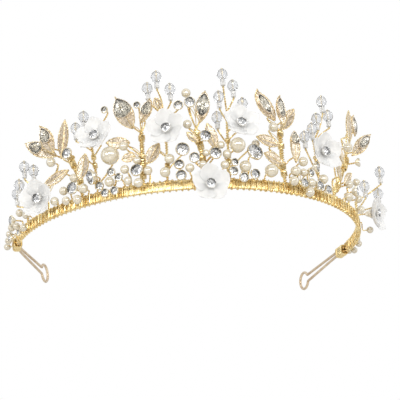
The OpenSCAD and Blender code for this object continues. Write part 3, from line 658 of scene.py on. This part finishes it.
def flowers():
    for i, f in enumerate(FLOWERS):
        shape = Shape()
        for k in range(PETALS):
            shape.add(petal(k), facing(*f))
        make(f"petals_{i + 1}", shape, [resin_white], [f"flower_{i + 1}"], smooth=60)
    backs, cups, stones = Shape(), Shape(), Shape()
    for f in FLOWERS:
        cone = [(0.75, -2.9), (1.0, -2.75), (1.25, -2), (1.7, -1), (2.15, -0.4), (2.2, -0.15)]
        backs.add(bored(cone, 0.35, 20), facing(*f))
        centre = facing(*f) @ Matrix.Translation((0, 0, FLOWER_CUP_BACK))
        add_cup(cups, FLOWER_STONE_D, centre)
        add_brilliant(stones, FLOWER_STONE_D, centre)
    make("flower_calyxes", backs, [resin_cream], ["flower_backs"])
    make("flower_centre_cups", cups, [silver_setting], ["flower_cups"])
    make("flower_centre_stones", stones, [stone_glass, stone_foil], ["flower_stones"], smooth=0)


# ---- stones in cups ----


def add_cup(shape, d, matrix):
    """A gallery cup: a foot ring, ribs with gaps between them, and a toothed rim over the girdle."""
    r = d / 2
    girdle = CUP_FLOOR + PAVILION * d
    top = girdle + GIRDLE_T + 0.2
    teeth = 12 if d > 3.2 else 10
    tooth = 0.5 + 0.5 * np.cos(np.arange(teeth * 4) * 2 * math.pi / 4)
    wall = [(r + 0.12, girdle * 0.72, 0), (r + CUP_WALL, girdle * 0.8, 0),
            (r + CUP_WALL * 0.9, girdle - 0.15, 0), (r + 0.24, top - 0.32, 0.3),
            (r - 0.02, top - 0.2, 0.34), (r - 0.06, top - 0.32, 0.2),
            (r + 0.14, girdle + 0.02, 0), (r + 0.12, girdle * 0.78, 0)]
    shape.add(lobed(wall, tooth), matrix)
    shape.add(lathe([(0.02, 0), (r * 0.5, 0), (r * 0.56, 0.14), (r * 0.5, 0.34), (0.02, 0.34)], 16), matrix)
    liner = [(0.02, 0.2), (r * 0.5, 0.28), (r + 0.06, girdle * 0.8), (r + 0.1, girdle * 0.76),
             (r * 0.56, 0.2), (0.02, 0.12)]
    shape.add(lathe(liner, 20), matrix)
    for k in range(8):
        g = 2 * math.pi * (k + 0.5) / 8
        c, s = math.cos(g), math.sin(g)
        rib = [(r * 0.48 * c, r * 0.48 * s, 0.15), (r * 0.78 * c, r * 0.78 * s, girdle * 0.42),
               ((r + 0.16) * c, (r + 0.16) * s, girdle * 0.82)]
        shape.add(tube(rib, 0.17, 5), matrix)


def brilliant(d):
    """The facets of a round stone: the crown, then the foil-backed pavilion."""
    r = d / 2
    girdle = CUP_FLOOR + PAVILION * d + GIRDLE_T / 2
    table, culet = girdle + CROWN * d, CUP_FLOOR + 0.14
    edge = r + STONE_GROW
    step = math.pi / 8
    points = ring(8, 0.56 * edge, table) + ring(8, 0.8 * edge, girdle + 0.55 * (table - girdle), step)
    points += ring(16, edge, girdle) + ring(8, 0.42 * edge, culet + 0.35 * (girdle - culet), step)
    points.append((0, 0, culet))
    crown, pavilion = [tuple(range(8))], []
    for k in range(8):
        n = (k + 1) % 8
        t0, t1, s0, s1 = k, n, 8 + k, 8 + n
        g0, g1, g2 = 16 + 2 * k, 17 + 2 * k, 16 + 2 * n
        crown += [(t0, s0, t1), (t1, s0, g2), (t1, g2, s1), (s0, g0, g1), (s0, g1, g2)]
        p0, p1 = 32 + k, 32 + n
        pavilion += [(g0, p0, g1), (g1, p0, g2), (g2, p0, 40), (g2, 40, p1)]
    return points, crown, pavilion


def add_stone(shape, matrix, points, crown, pavilion):
    start = shape.count
    shape.add((points, crown), matrix)
    shape.faces += [[start + i for i in face] for face in pavilion]
    shape.marks += [1] * len(pavilion)


def add_brilliant(shape, d, matrix):
    add_stone(shape, matrix @ turned(draw.uniform(0, 45), "Z"), *brilliant(d))


def rounds():
    cups, stones = Shape(), Shape()
    for s, z, out, d, up, right in ROUNDS:
        lean = turned(draw.uniform(-5, 5), "X") @ turned(draw.uniform(-5, 5), "Y")
        matrix = facing(s, z, out, up, right) @ lean
        add_cup(cups, d, matrix)
        add_brilliant(stones, d, matrix)
    make("gallery_cups", cups, [pale_gold_setting], ["round_cups"])
    make("round_brilliants", stones, [stone_glass, stone_foil], ["round_stones"], smooth=0)


# ---- leaves ----


def leaf_half(l, w, x):
    """Half the width of a pointed leaf of length l and width w, at x from its base."""
    r = (l * l + w * w) / (4 * w)
    return math.sqrt(max(0, r * r - (x - l / 2) ** 2)) - (r - w / 2)


def leaf_frame(leaf):
    """The frame of a leaf, its base at the origin and its tip along +X, and its length."""
    s, z, out, x, y, _, turn = leaf[:7]
    return facing(s, z, out, 0, turn) @ Matrix.Rotation(math.atan2(y, x), 4, "Z"), math.hypot(x, y)


def filigree_leaf(shape, matrix, l, w, curl, flat_to=0.35, veined=1.0):
    """A stamped leaf: a beaded and scalloped rim, a mid-rib and slanting veins on a folded sheet.

    The sheet is flat along its length up to flat_to and curls up to its tip from there, curl being
    the tip's rise as a share of the length. The rib and the veins stop at veined.
    """
    def lift(x, y):
        fold = 0.16 if x < veined * l else 0.05
        return LEAF_T / 2 + fold * abs(y) + curl * l * (max(0, x / l - flat_to) / (1 - flat_to)) ** 2

    def over(x, y, raised=0):
        return (x, y, lift(x, y) + raised)

    inset = 0.3
    xs = np.linspace(0, l, 70)
    sheet = []
    for x in np.linspace(0.15, l - 0.15, 24):
        half = max(0.04, leaf_half(l, w, x) - inset)
        across = np.linspace(-half, half, 5)
        sheet.append([over(x, y, 0.02) for y in across] + [over(x, y, -0.16) for y in across[::-1]])
    shape.add(rings(sheet), matrix)
    for side in (-1, 1):
        scallop = [0.22 * abs(math.sin(math.pi * x / 1.5)) for x in xs]
        rim = [over(x, side * max(0, leaf_half(l, w, x) - inset + wave)) for x, wave in zip(xs, scallop)]
        rim = resampled(rim, 0.16)
        beads = 0.29 * (0.8 + 0.3 * np.cos(2 * math.pi * lengths(rim) / 0.66))
        shape.add(tube(rim, beads, 6), matrix, 1)
    end = min(l - 0.2, veined * l)
    rib = resampled([over(x, 0, 0.14) for x in np.linspace(0.1, end, 12)], 0.5)
    shape.add(tube(rib, np.linspace(0.4, 0.18, len(rib)), 6), matrix, 1)
    x = 0.7
    while x < end - 0.6:
        for side in (-1, 1):
            vein = []
            for u in np.linspace(0, 1, 9):
                xx, yy = x + u * w * 0.42, u * w * 0.5
                if xx > min(l - 0.3, veined * l) or yy > leaf_half(l, w, xx) - inset:
                    break
                vein.append(over(xx + 0.25 * math.sin(math.pi * u), side * yy, 0.1))
            if len(vein) > 2:
                vein = resampled(vein, 0.15)
                grain = 0.2 * (1 + 0.3 * np.cos(2 * math.pi * lengths(vein) / 0.5))
                shape.add(tube(vein, grain, 5), matrix)
        x += 0.62


def leaves():
    shape = Shape()
    for leaf in LEAVES:
        matrix, l = leaf_frame(leaf)
        filigree_leaf(shape, matrix, l, leaf[5], draw.choice([0.04, 0.1, 0.15]))
    make("stamped_leaves", shape, [pale_gold_leaf, leaf_rim], ["filigree_leaves"],
         smooth=50)


def pear_half(l, w, x):
    """Half the width of a pear shape at x from its round end, which has its point at x = l."""
    t = math.acos(max(-1, min(1, 1 - 2 * x / l))) / math.pi
    return w / 2 * 1.335 * math.sin(math.pi * t) * math.cos(math.pi * t / 2) ** 0.8


def stone_half(l, w, x):
    return (pear_half if w > PEAR_FROM * l else leaf_half)(l, w, x)


def stone_ring(l, w, z, grow, sides):
    """Points round a pointed stone's outline at height z, grown outward by grow."""
    half = sides // 2
    ts = [l * (1 - math.cos(math.pi * i / half)) / 2 for i in range(half + 1)]
    edge = [(x, -stone_half(l, w, x) - grow) for x in ts]
    edge += [(x, stone_half(l, w, x) + grow) for x in ts[-2:0:-1]]
    return [(l / 2 + (x - l / 2) * (1 + 2 * grow / l), y, z) for x, y in edge]


def add_setting(shape, matrix, l, w):
    """The tray round a pointed stone of length l and width w, its point of origin at the stone's base."""
    tray = [(0.0, 0.05), (0.2, 0.2), (0.1, 0.36)]
    shape.add(rings([stone_ring(l, w, z, grow, 40) for grow, z in tray]), matrix)
    wall = [(0.05, 0.2), (0.26, 0.3), (0.3, SETTING_H - 0.15), (0.16, SETTING_H),
            (0.02, SETTING_H - 0.1), (0.0, 0.3)]
    stack = [stone_ring(l, w, z, grow, 40) for grow, z in wall]
    shape.add(rings(stack + [stack[0]], cap=False), matrix)
    rim = stone_ring(l, w, SETTING_H - 0.04, 0.16, 60)
    rim = resampled(np.array(rim + rim[:1]), 0.15)
    shape.add(tube(rim, 0.14 * (1 + 0.3 * np.cos(2 * math.pi * lengths(rim) / 0.5)), 5), matrix)
    for x in (0.04, 0.35, 0.7, 0.96):
        for side in (-1, 1):
            y = stone_half(l, w, x * l)
            claw = [(x * l, side * (y + 0.2), 0.5), (x * l, side * (y + 0.18), SETTING_H + 0.1),
                    (x * l, side * max(0, y - 0.3), SETTING_H + 0.22)]
            shape.add(tube(rounded(claw, 0.3, 0.15), 0.17, 5), matrix)


def add_leaf_stone(shape, matrix, l, w):
    """The facets of a pointed stone of length l and width w: the crown, then the foil-backed pavilion."""
    sides = 16
    girdle, table = SETTING_H - 0.12, LEAF_STONE_H
    edge = stone_ring(l - 4 * STONE_CLEAR, w - 2 * STONE_CLEAR, girdle, 0, sides)
    middle_x = l * 0.42 if w > PEAR_FROM * l else l / 2
    top = [(middle_x + (x - middle_x) * 0.6, y * 0.58, table) for x, y, _ in edge]
    step = [((a[0] + b[0]) / 2, (a[1] + b[1]) / 2, 0) for a, b in zip(edge, edge[1:] + edge[:1])]
    middle = [(middle_x + (x - middle_x) * 0.84, y * 0.86, girdle + 0.55 * (table - girdle))
              for x, y, _ in step]
    keel = [(middle_x + (x - middle_x) * (0.42 + 0.16 * (k % 2)), y * (0.3 + 0.2 * (k % 2)),
             SETTING_FLOOR + 0.06 + 0.24 * (k % 2)) for k, (x, y, _) in enumerate(step)]
    n = len(edge)
    points = top + middle + edge + keel + [(middle_x, 0, SETTING_FLOOR + 0.42)]
    crown, pavilion = [tuple(range(n))], [(3 * n + k, 3 * n + (k + 1) % n, 4 * n) for k in range(n)]
    for k in range(n):
        m = (k + 1) % n
        crown += [(k, n + k, m), (m, n + k, 2 * n + m), (m, 2 * n + m, n + m), (n + k, 2 * n + k, 2 * n + m)]
        pavilion += [(2 * n + k, 3 * n + k, 2 * n + m), (2 * n + m, 3 * n + k, 3 * n + m)]
    add_stone(shape, matrix, points, crown, pavilion)


def stone_leaves():
    settings, stones = Shape(), Shape()
    for leaf in STONE_LEAVES:
        matrix, l = leaf_frame(leaf)
        long, wide, share = leaf[7:]
        first, last = share - long / 2 / l, min(0.93, share + long / 2 / l)
        curl = draw.choice([0.04, 0.08, 0.12])
        filigree_leaf(settings, matrix, l, leaf[5], curl, last, first + 0.02)
        seat = matrix @ Matrix.Translation((first * l, 0, 0))
        add_setting(settings, seat, long, wide)
        add_leaf_stone(stones, seat @ Matrix.Translation((2 * STONE_CLEAR, 0, 0)), long, wide)
    make("leaf_settings", settings, [pale_gold_leaf, leaf_rim], ["stone_leaf_settings"])
    make("marquise_stones", stones, [stone_glass, warm_foil], ["leaf_stones"], smooth=0)


# ---- pearls and crystals ----


def ball(d):
    """A bead's outline from the edge of its bore to the far end."""
    start = math.asin(2 * BORE_R / d)
    return [(d / 2 * math.sin(g), -d / 2 * math.cos(g)) for g in np.linspace(start, math.pi - start, 18)]


def pearls(name, node, items):
    shape = Shape()
    for s, z, out, d in items:
        squeeze = Matrix.Diagonal((1, 1, draw.uniform(0.95, 1), 1))
        spin = turned(draw.uniform(0, 90), "Z")
        profile = ball(d)[:-1] + [(0.2 * d, 0.458 * d), (0.02, 0.5 * d)]
        inner = [(0.02, 0.12 * d), (BORE_R, 0.1 * d), (BORE_R, profile[0][1])]
        shape.add(lathe(inner + profile, 28), facing(s, z, out) @ spin @ squeeze)
    make(name, shape, [pearl], [node], smooth=50)


def pearl_caps():
    shape = Shape()
    for s, z, out, d in LARGE_PEARLS:
        inner = d / 2 + 2 * BEAD_CLEAR
        lobe = 0.8 * np.abs(np.cos(np.arange(48) * 3 * math.pi / 48 * 2))
        profile = [(0.35, -inner - 0.3, 0), (0.45 * inner, -0.98 * inner, 0),
                   (0.78 * inner, -0.7 * inner, 0.15),
                   (0.93 * inner, -0.42 * inner, 0.3), (0.88 * inner, -0.4 * inner, 0.3),
                   (0.74 * inner, -0.66 * inner, 0.1), (0.42 * inner, -0.9 * inner, 0),
                   (0.35, -inner + 0.02, 0)]
        shape.add(lobed(profile, lobe), facing(s, z, out))
    make("large_pearl_cups", shape, [gold_setting], ["pearl_caps"])


def seeds():
    shape = Shape()
    r, h, edge = SEED_D / 2, SEED_LEN / 2 - 0.05, 0.4
    curve = [(r - edge + edge * math.cos(g), h - edge + edge * math.sin(g))
             for g in np.linspace(0, math.pi / 2, 5)]
    profile = [(a, -b) for a, b in reversed(curve)] + curve
    for c in sum(CRYSTALS.values(), []):
        shape.add(bored(profile, BORE_R, 20), at(c[0], c[1] - CRYSTAL_D / 2 - 0.05 - SEED_LEN / 2, c[2]))
    make("seed_tubes", shape, [seed_glass], ["seed_beads"])


def faceted_bead(sides=9):
    """A cut bead: rings of corners, each turned half a facet from the last, round a bore."""
    r = CRYSTAL_D / 2
    levels = [(-r, BEAD_END * r, 0), (-BEAD_SHOULDER_Z * r, BEAD_SHOULDER * r, 1), (0, r, 0),
              (BEAD_SHOULDER_Z * r, BEAD_SHOULDER * r, 1), (r, BEAD_END * r, 0)]
    points, faces = [], []
    for z, radius, shifted in levels:
        points += ring(sides, radius, z, shifted * math.pi / sides)
    for i, (_, _, shifted) in enumerate(levels[:-1]):
        for j in range(sides):
            k = (j + 1) % sides
            a, b, c, d = i * sides + j, i * sides + k, (i + 1) * sides + j, (i + 1) * sides + k
            faces += [(a, d, c), (a, b, d)] if shifted else [(a, b, c), (b, d, c)]
    points += ring(sides, BORE_R, -r) + ring(sides, BORE_R, r)
    low, high = 5 * sides, 6 * sides
    for j in range(sides):
        k = (j + 1) % sides
        faces += [(j, k, low + k, low + j), (4 * sides + j, 4 * sides + k, high + k, high + j),
                  (low + j, low + k, high + k, high + j)]
    return points, faces


def crystals():
    for sprig, items in CRYSTALS.items():
        for i, (s, z, out) in enumerate(items):
            shape = Shape()
            shape.add(faceted_bead(), at(s, z, out) @ turned(draw.uniform(0, 40), "Z"))
            node = f"crystal_{sprig}{i + 1}"
            make(f"cut_bead_{sprig}{i + 1}", shape, [crystal_glass], [node], body=node, smooth=0)


# ---- materials ----


def new_material(name, values):
    """A material with values for its shader's inputs, its node tree and its shader."""
    material = bpy.data.materials.new(name)
    material.use_nodes = True
    tree = material.node_tree
    shader = tree.nodes["Principled BSDF"]
    for key, value in values.items():
        shader.inputs[key].default_value = value
    return material, tree, shader


def noise(tree, scale, detail=3.0):
    place_node = tree.nodes.new("ShaderNodeTexCoord")
    node = tree.nodes.new("ShaderNodeTexNoise")
    node.inputs["Scale"].default_value = scale
    node.inputs["Detail"].default_value = detail
    node.inputs["Roughness"].default_value = 0.55
    tree.links.new(place_node.outputs["Object"], node.inputs["Vector"])
    return node.outputs["Fac"]


def ramp(tree, value, stops):
    node = tree.nodes.new("ShaderNodeValToRGB")
    elements = node.color_ramp.elements
    while len(elements) < len(stops):
        elements.new(0.5)
    for element, (position, colour) in zip(elements, stops):
        element.position = position
        element.color = (*colour, 1)
    tree.links.new(value, node.inputs["Fac"])
    return node.outputs["Color"]


def surface(name, tone, gloss, grain, values):
    """A material whose colour and roughness drift over it, with a fine grain.

    tone is [scale, detail, stops], gloss is [scale, lowest roughness, highest], and grain is
    [scale, detail, depth in metres, strength].
    """
    material, tree, shader = new_material(name, values)
    tree.links.new(ramp(tree, noise(tree, *tone[:2]), tone[2]), shader.inputs["Base Color"])
    spread = tree.nodes.new("ShaderNodeMapRange")
    for key, value in zip(("From Min", "From Max", "To Min", "To Max"), (0.3, 0.7, *gloss[1:])):
        spread.inputs[key].default_value = value
    tree.links.new(noise(tree, gloss[0]), spread.inputs["Value"])
    tree.links.new(spread.outputs["Result"], shader.inputs["Roughness"])
    bump = tree.nodes.new("ShaderNodeBump")
    bump.inputs["Distance"].default_value, bump.inputs["Strength"].default_value = grain[2:]
    tree.links.new(noise(tree, *grain[:2]), bump.inputs["Height"])
    tree.links.new(bump.outputs["Normal"], shader.inputs["Normal"])
    return material


def gold(name, dark, light, rough, grain=1.0, patch=260):
    """Gilt metal: the tone drifts over a few millimetres, and the gloss is broken by fine grain."""
    return surface(name, [patch, 4, [(0.32, dark), (0.68, light)]], [900, *rough],
                   [2600 / grain, 2, 0.00003 * grain, 0.6], {"Metallic": 1})


def pearl_material():
    # The base colour is partly the pearls' own cream and partly a painted golden reflection of the gilt
    # wires round them.
    stops = [(0.35, (0.58, 0.49, 0.31)), (0.65, (0.70, 0.62, 0.45))]
    return surface("pearl_lustre_painted_gold", [420, 3, stops], [1500, 0.2, 0.32], [1800, 2, 0.00001, 0.5], {
        "Specular IOR Level": 0.7, "Coat Weight": 1, "Coat IOR": 3.2, "Coat Roughness": 0.08,
        "Subsurface Weight": 0.15, "Subsurface Radius": (1.0, 0.8, 0.55), "Subsurface Scale": 0.0008
    })


def resin(name, low, high):
    """Satin petals: slightly translucent, with faint cloudy streaks."""
    stops = [(0.35, low), (0.65, high)]
    return surface(name, [240, 4, stops], [700, 0.36, 0.5], [900, 3, 0.00004, 0.5], {
        "Subsurface Weight": 0.35, "Subsurface Radius": (1.0, 0.95, 0.9), "Subsurface Scale": 0.0012,
        "Sheen Weight": 0.12
    })


def glass(name, tint, ior, clear=1.0, rough=(0.0, 0.03)):
    """Glass, or with a clear under 1 a milky glass."""
    return surface(name, [300, 2, [(0.3, tint), (0.7, (1, 1, 1))]], [1200, *rough],
                   [1500, 2, 0.000004, 0.4], {"IOR": ior, "Transmission Weight": clear})


def foil(name, dark, light, rough):
    """The mirror backing of a stone."""
    return surface(name, [500, 3, [(0.35, dark), (0.65, light)]], [1400, *rough],
                   [2000, 2, 0.00001, 0.5], {"Metallic": 1})


def floor_material():
    material, tree, shader = new_material("pale_floor", {"Roughness": 0.7})
    stops = [(0.3, (0.74, 0.72, 0.69)), (0.7, (0.78, 0.76, 0.73))]
    tree.links.new(ramp(tree, noise(tree, 3, 2), stops), shader.inputs["Base Color"])
    return material


gold_strip = gold("gilt_strip", (0.74, 0.54, 0.24), (0.95, 0.78, 0.44), (0.2, 0.36), 1.6)
gold_wire = gold("gilt_wire", (0.80, 0.60, 0.28), (0.98, 0.84, 0.50), (0.14, 0.3))
pale_gold_wire = gold("pale_gilt_wire", (0.66, 0.50, 0.34), (0.88, 0.74, 0.54), (0.16, 0.3))
pale_gold_leaf = gold("pale_gilt_leaf", (0.56, 0.46, 0.33), (0.99, 0.91, 0.79), (0.2, 0.38), 4.0, 950)
leaf_rim = gold("leaf_rim_gilt", (0.62, 0.47, 0.24), (0.92, 0.78, 0.50), (0.16, 0.32), 2.0, 700)
pale_gold_setting = gold("pale_gilt_setting", (0.72, 0.62, 0.42), (0.96, 0.90, 0.76), (0.12, 0.26))
silver_setting = gold("silvered_setting", (0.70, 0.68, 0.64), (0.96, 0.95, 0.92), (0.12, 0.26))
gold_setting = gold("gilt_setting", (0.76, 0.56, 0.26), (0.95, 0.80, 0.50), (0.14, 0.28))
pearl = pearl_material()
resin_white = resin("satin_white", (0.765, 0.758, 0.74), (0.835, 0.83, 0.815))
resin_cream = resin("satin_cream", (0.86, 0.78, 0.64), (0.93, 0.87, 0.76))
stone_glass = glass("rhinestone_glass", (0.95, 0.96, 0.97), 1.62)
crystal_glass = glass("crystal_glass", (0.84, 0.85, 0.86), 1.53, 0.82, (0.0, 0.08))
seed_glass = glass("seed_glass", (0.88, 0.87, 0.84), 1.5, 0.5, (0.15, 0.35))
stone_foil = foil("silver_foil", (0.72, 0.73, 0.75), (0.92, 0.92, 0.92), (0.03, 0.14))
warm_foil = foil("warm_foil", (0.80, 0.76, 0.66), (0.96, 0.94, 0.88), (0.1, 0.28))

# ---- camera, light and floor ----

VIEW_AZIMUTH, VIEW_ELEVATION, VIEW_ROLL, VIEW_DISTANCE = -9, -19.2, 4.16, 0.85
VIEW_TARGET = Vector((0, 0, 0.02))
FLOOR_Z = -0.36


def direction(azimuth, elevation):
    a, e = math.radians(azimuth), math.radians(elevation)
    return Vector((math.sin(a) * math.cos(e), -math.cos(a) * math.cos(e), math.sin(e)))


def camera():
    back = direction(VIEW_AZIMUTH, VIEW_ELEVATION)
    right = Vector((0, 0, 1)).cross(back).normalized()
    up = back.cross(right)
    roll = math.radians(VIEW_ROLL)
    x = math.cos(roll) * right - math.sin(roll) * up
    y = math.sin(roll) * right + math.cos(roll) * up
    data = bpy.data.cameras.new("camera")
    data.sensor_width = 36
    data.lens = 175
    data.shift_x, data.shift_y = 0.04, 0.01
    data.clip_start, data.clip_end = 0.01, 20
    cam = bpy.data.objects.new("camera", data)
    rotation = Matrix((x, y, back)).transposed().to_4x4()
    cam.matrix_world = Matrix.Translation(VIEW_TARGET + VIEW_DISTANCE * back) @ rotation
    bpy.context.scene.collection.objects.link(cam)
    bpy.context.scene.camera = cam


def area_light(name, azimuth, elevation, distance, size, power):
    data = bpy.data.lights.new(name, "AREA")
    data.shape = "RECTANGLE"
    data.size, data.size_y = size
    data.energy = power
    lamp = bpy.data.objects.new(name, data)
    away = direction(azimuth, elevation)
    lamp.location = VIEW_TARGET + distance * away
    lamp.rotation_mode = "QUATERNION"
    lamp.rotation_quaternion = away.to_track_quat("Z", "Y")
    bpy.context.scene.collection.objects.link(lamp)


def studio():
    """A white cove, darker round the photographer, so that metal and glass have something to reflect."""
    world = bpy.data.worlds.new("studio")
    bpy.context.scene.world = world
    world.use_nodes = True
    tree = world.node_tree
    link = tree.links.new
    background = tree.nodes["Background"]
    place_node = tree.nodes.new("ShaderNodeTexCoord")
    toward = tree.nodes.new("ShaderNodeVectorMath")
    toward.operation = "DOT_PRODUCT"
    toward.inputs[1].default_value = direction(VIEW_AZIMUTH - 12, VIEW_ELEVATION + 2)
    link(place_node.outputs["Generated"], toward.inputs[0])
    shade = ramp(tree, toward.outputs["Value"], [
        (0.0, (0.8, 0.81, 0.83)), (0.55, (0.72, 0.72, 0.71)),
        (0.8, (0.25, 0.24, 0.22)), (0.97, (0.03, 0.03, 0.026))
    ])
    path = tree.nodes.new("ShaderNodeLightPath")
    mix = tree.nodes.new("ShaderNodeMix")
    mix.data_type = "RGBA"
    link(path.outputs["Is Camera Ray"], mix.inputs["Factor"])
    link(shade, mix.inputs[6])
    mix.inputs[7].default_value = (1, 1, 1, 1)
    link(mix.outputs[2], background.inputs["Color"])
    area_light("front_strip", VIEW_AZIMUTH, 7, 0.9, (2.4, 0.3), 3.8)
    area_light("front_line", VIEW_AZIMUTH, 9, 0.88, (1.5, 0.09), 2.8)
    area_light("overhead", 0, 72, 1.0, (1.4, 0.8), 1.2)
    area_light("left_side", -85, 20, 0.9, (0.4, 0.9), 1.0)
    area_light("right_side", 75, 15, 0.9, (0.3, 0.9), 0.8)
    bpy.context.scene.view_settings.view_transform = "Standard"


def floor():
    mesh = bpy.data.meshes.new("floor")
    reach = 4
    mesh.from_pydata([(-reach, -reach, FLOOR_Z), (reach, -reach, FLOOR_Z), (reach, reach, FLOOR_Z),
                      (-reach, reach, FLOOR_Z)], [], [(0, 1, 2, 3)])
    mesh.materials.append(floor_material())
    plane = bpy.data.objects.new("floor", mesh)
    bpy.context.scene.collection.objects.link(plane)


# ---- the tiara ----

camera()
studio()
floor()
band()
band_wrap()
end_binding("binding_left", "left_end_binding", -LEFT_LEN, -1)
end_binding("binding_right", "right_end_binding", RIGHT_LEN, 1)
pin_loop("hairpin_left", "left_pin_loop", -LEFT_LEN, -1, LEFT_BEND)
pin_loop("hairpin_right", "right_pin_loop", RIGHT_LEN, 1, RIGHT_BEND)
for row in WIRES:
    wires(*row)
flowers()
rounds()
leaves()
stone_leaves()
pearls("round_pearls_left", "pearls_left", PEARLS_LEFT)
pearls("round_pearls_centre", "pearls_centre", PEARLS_CENTRE)
pearls("round_pearls_right", "pearls_right", PEARLS_RIGHT)
pearls("capped_pearls", "large_pearls", LARGE_PEARLS)
pearl_caps()
seeds()
crystals()
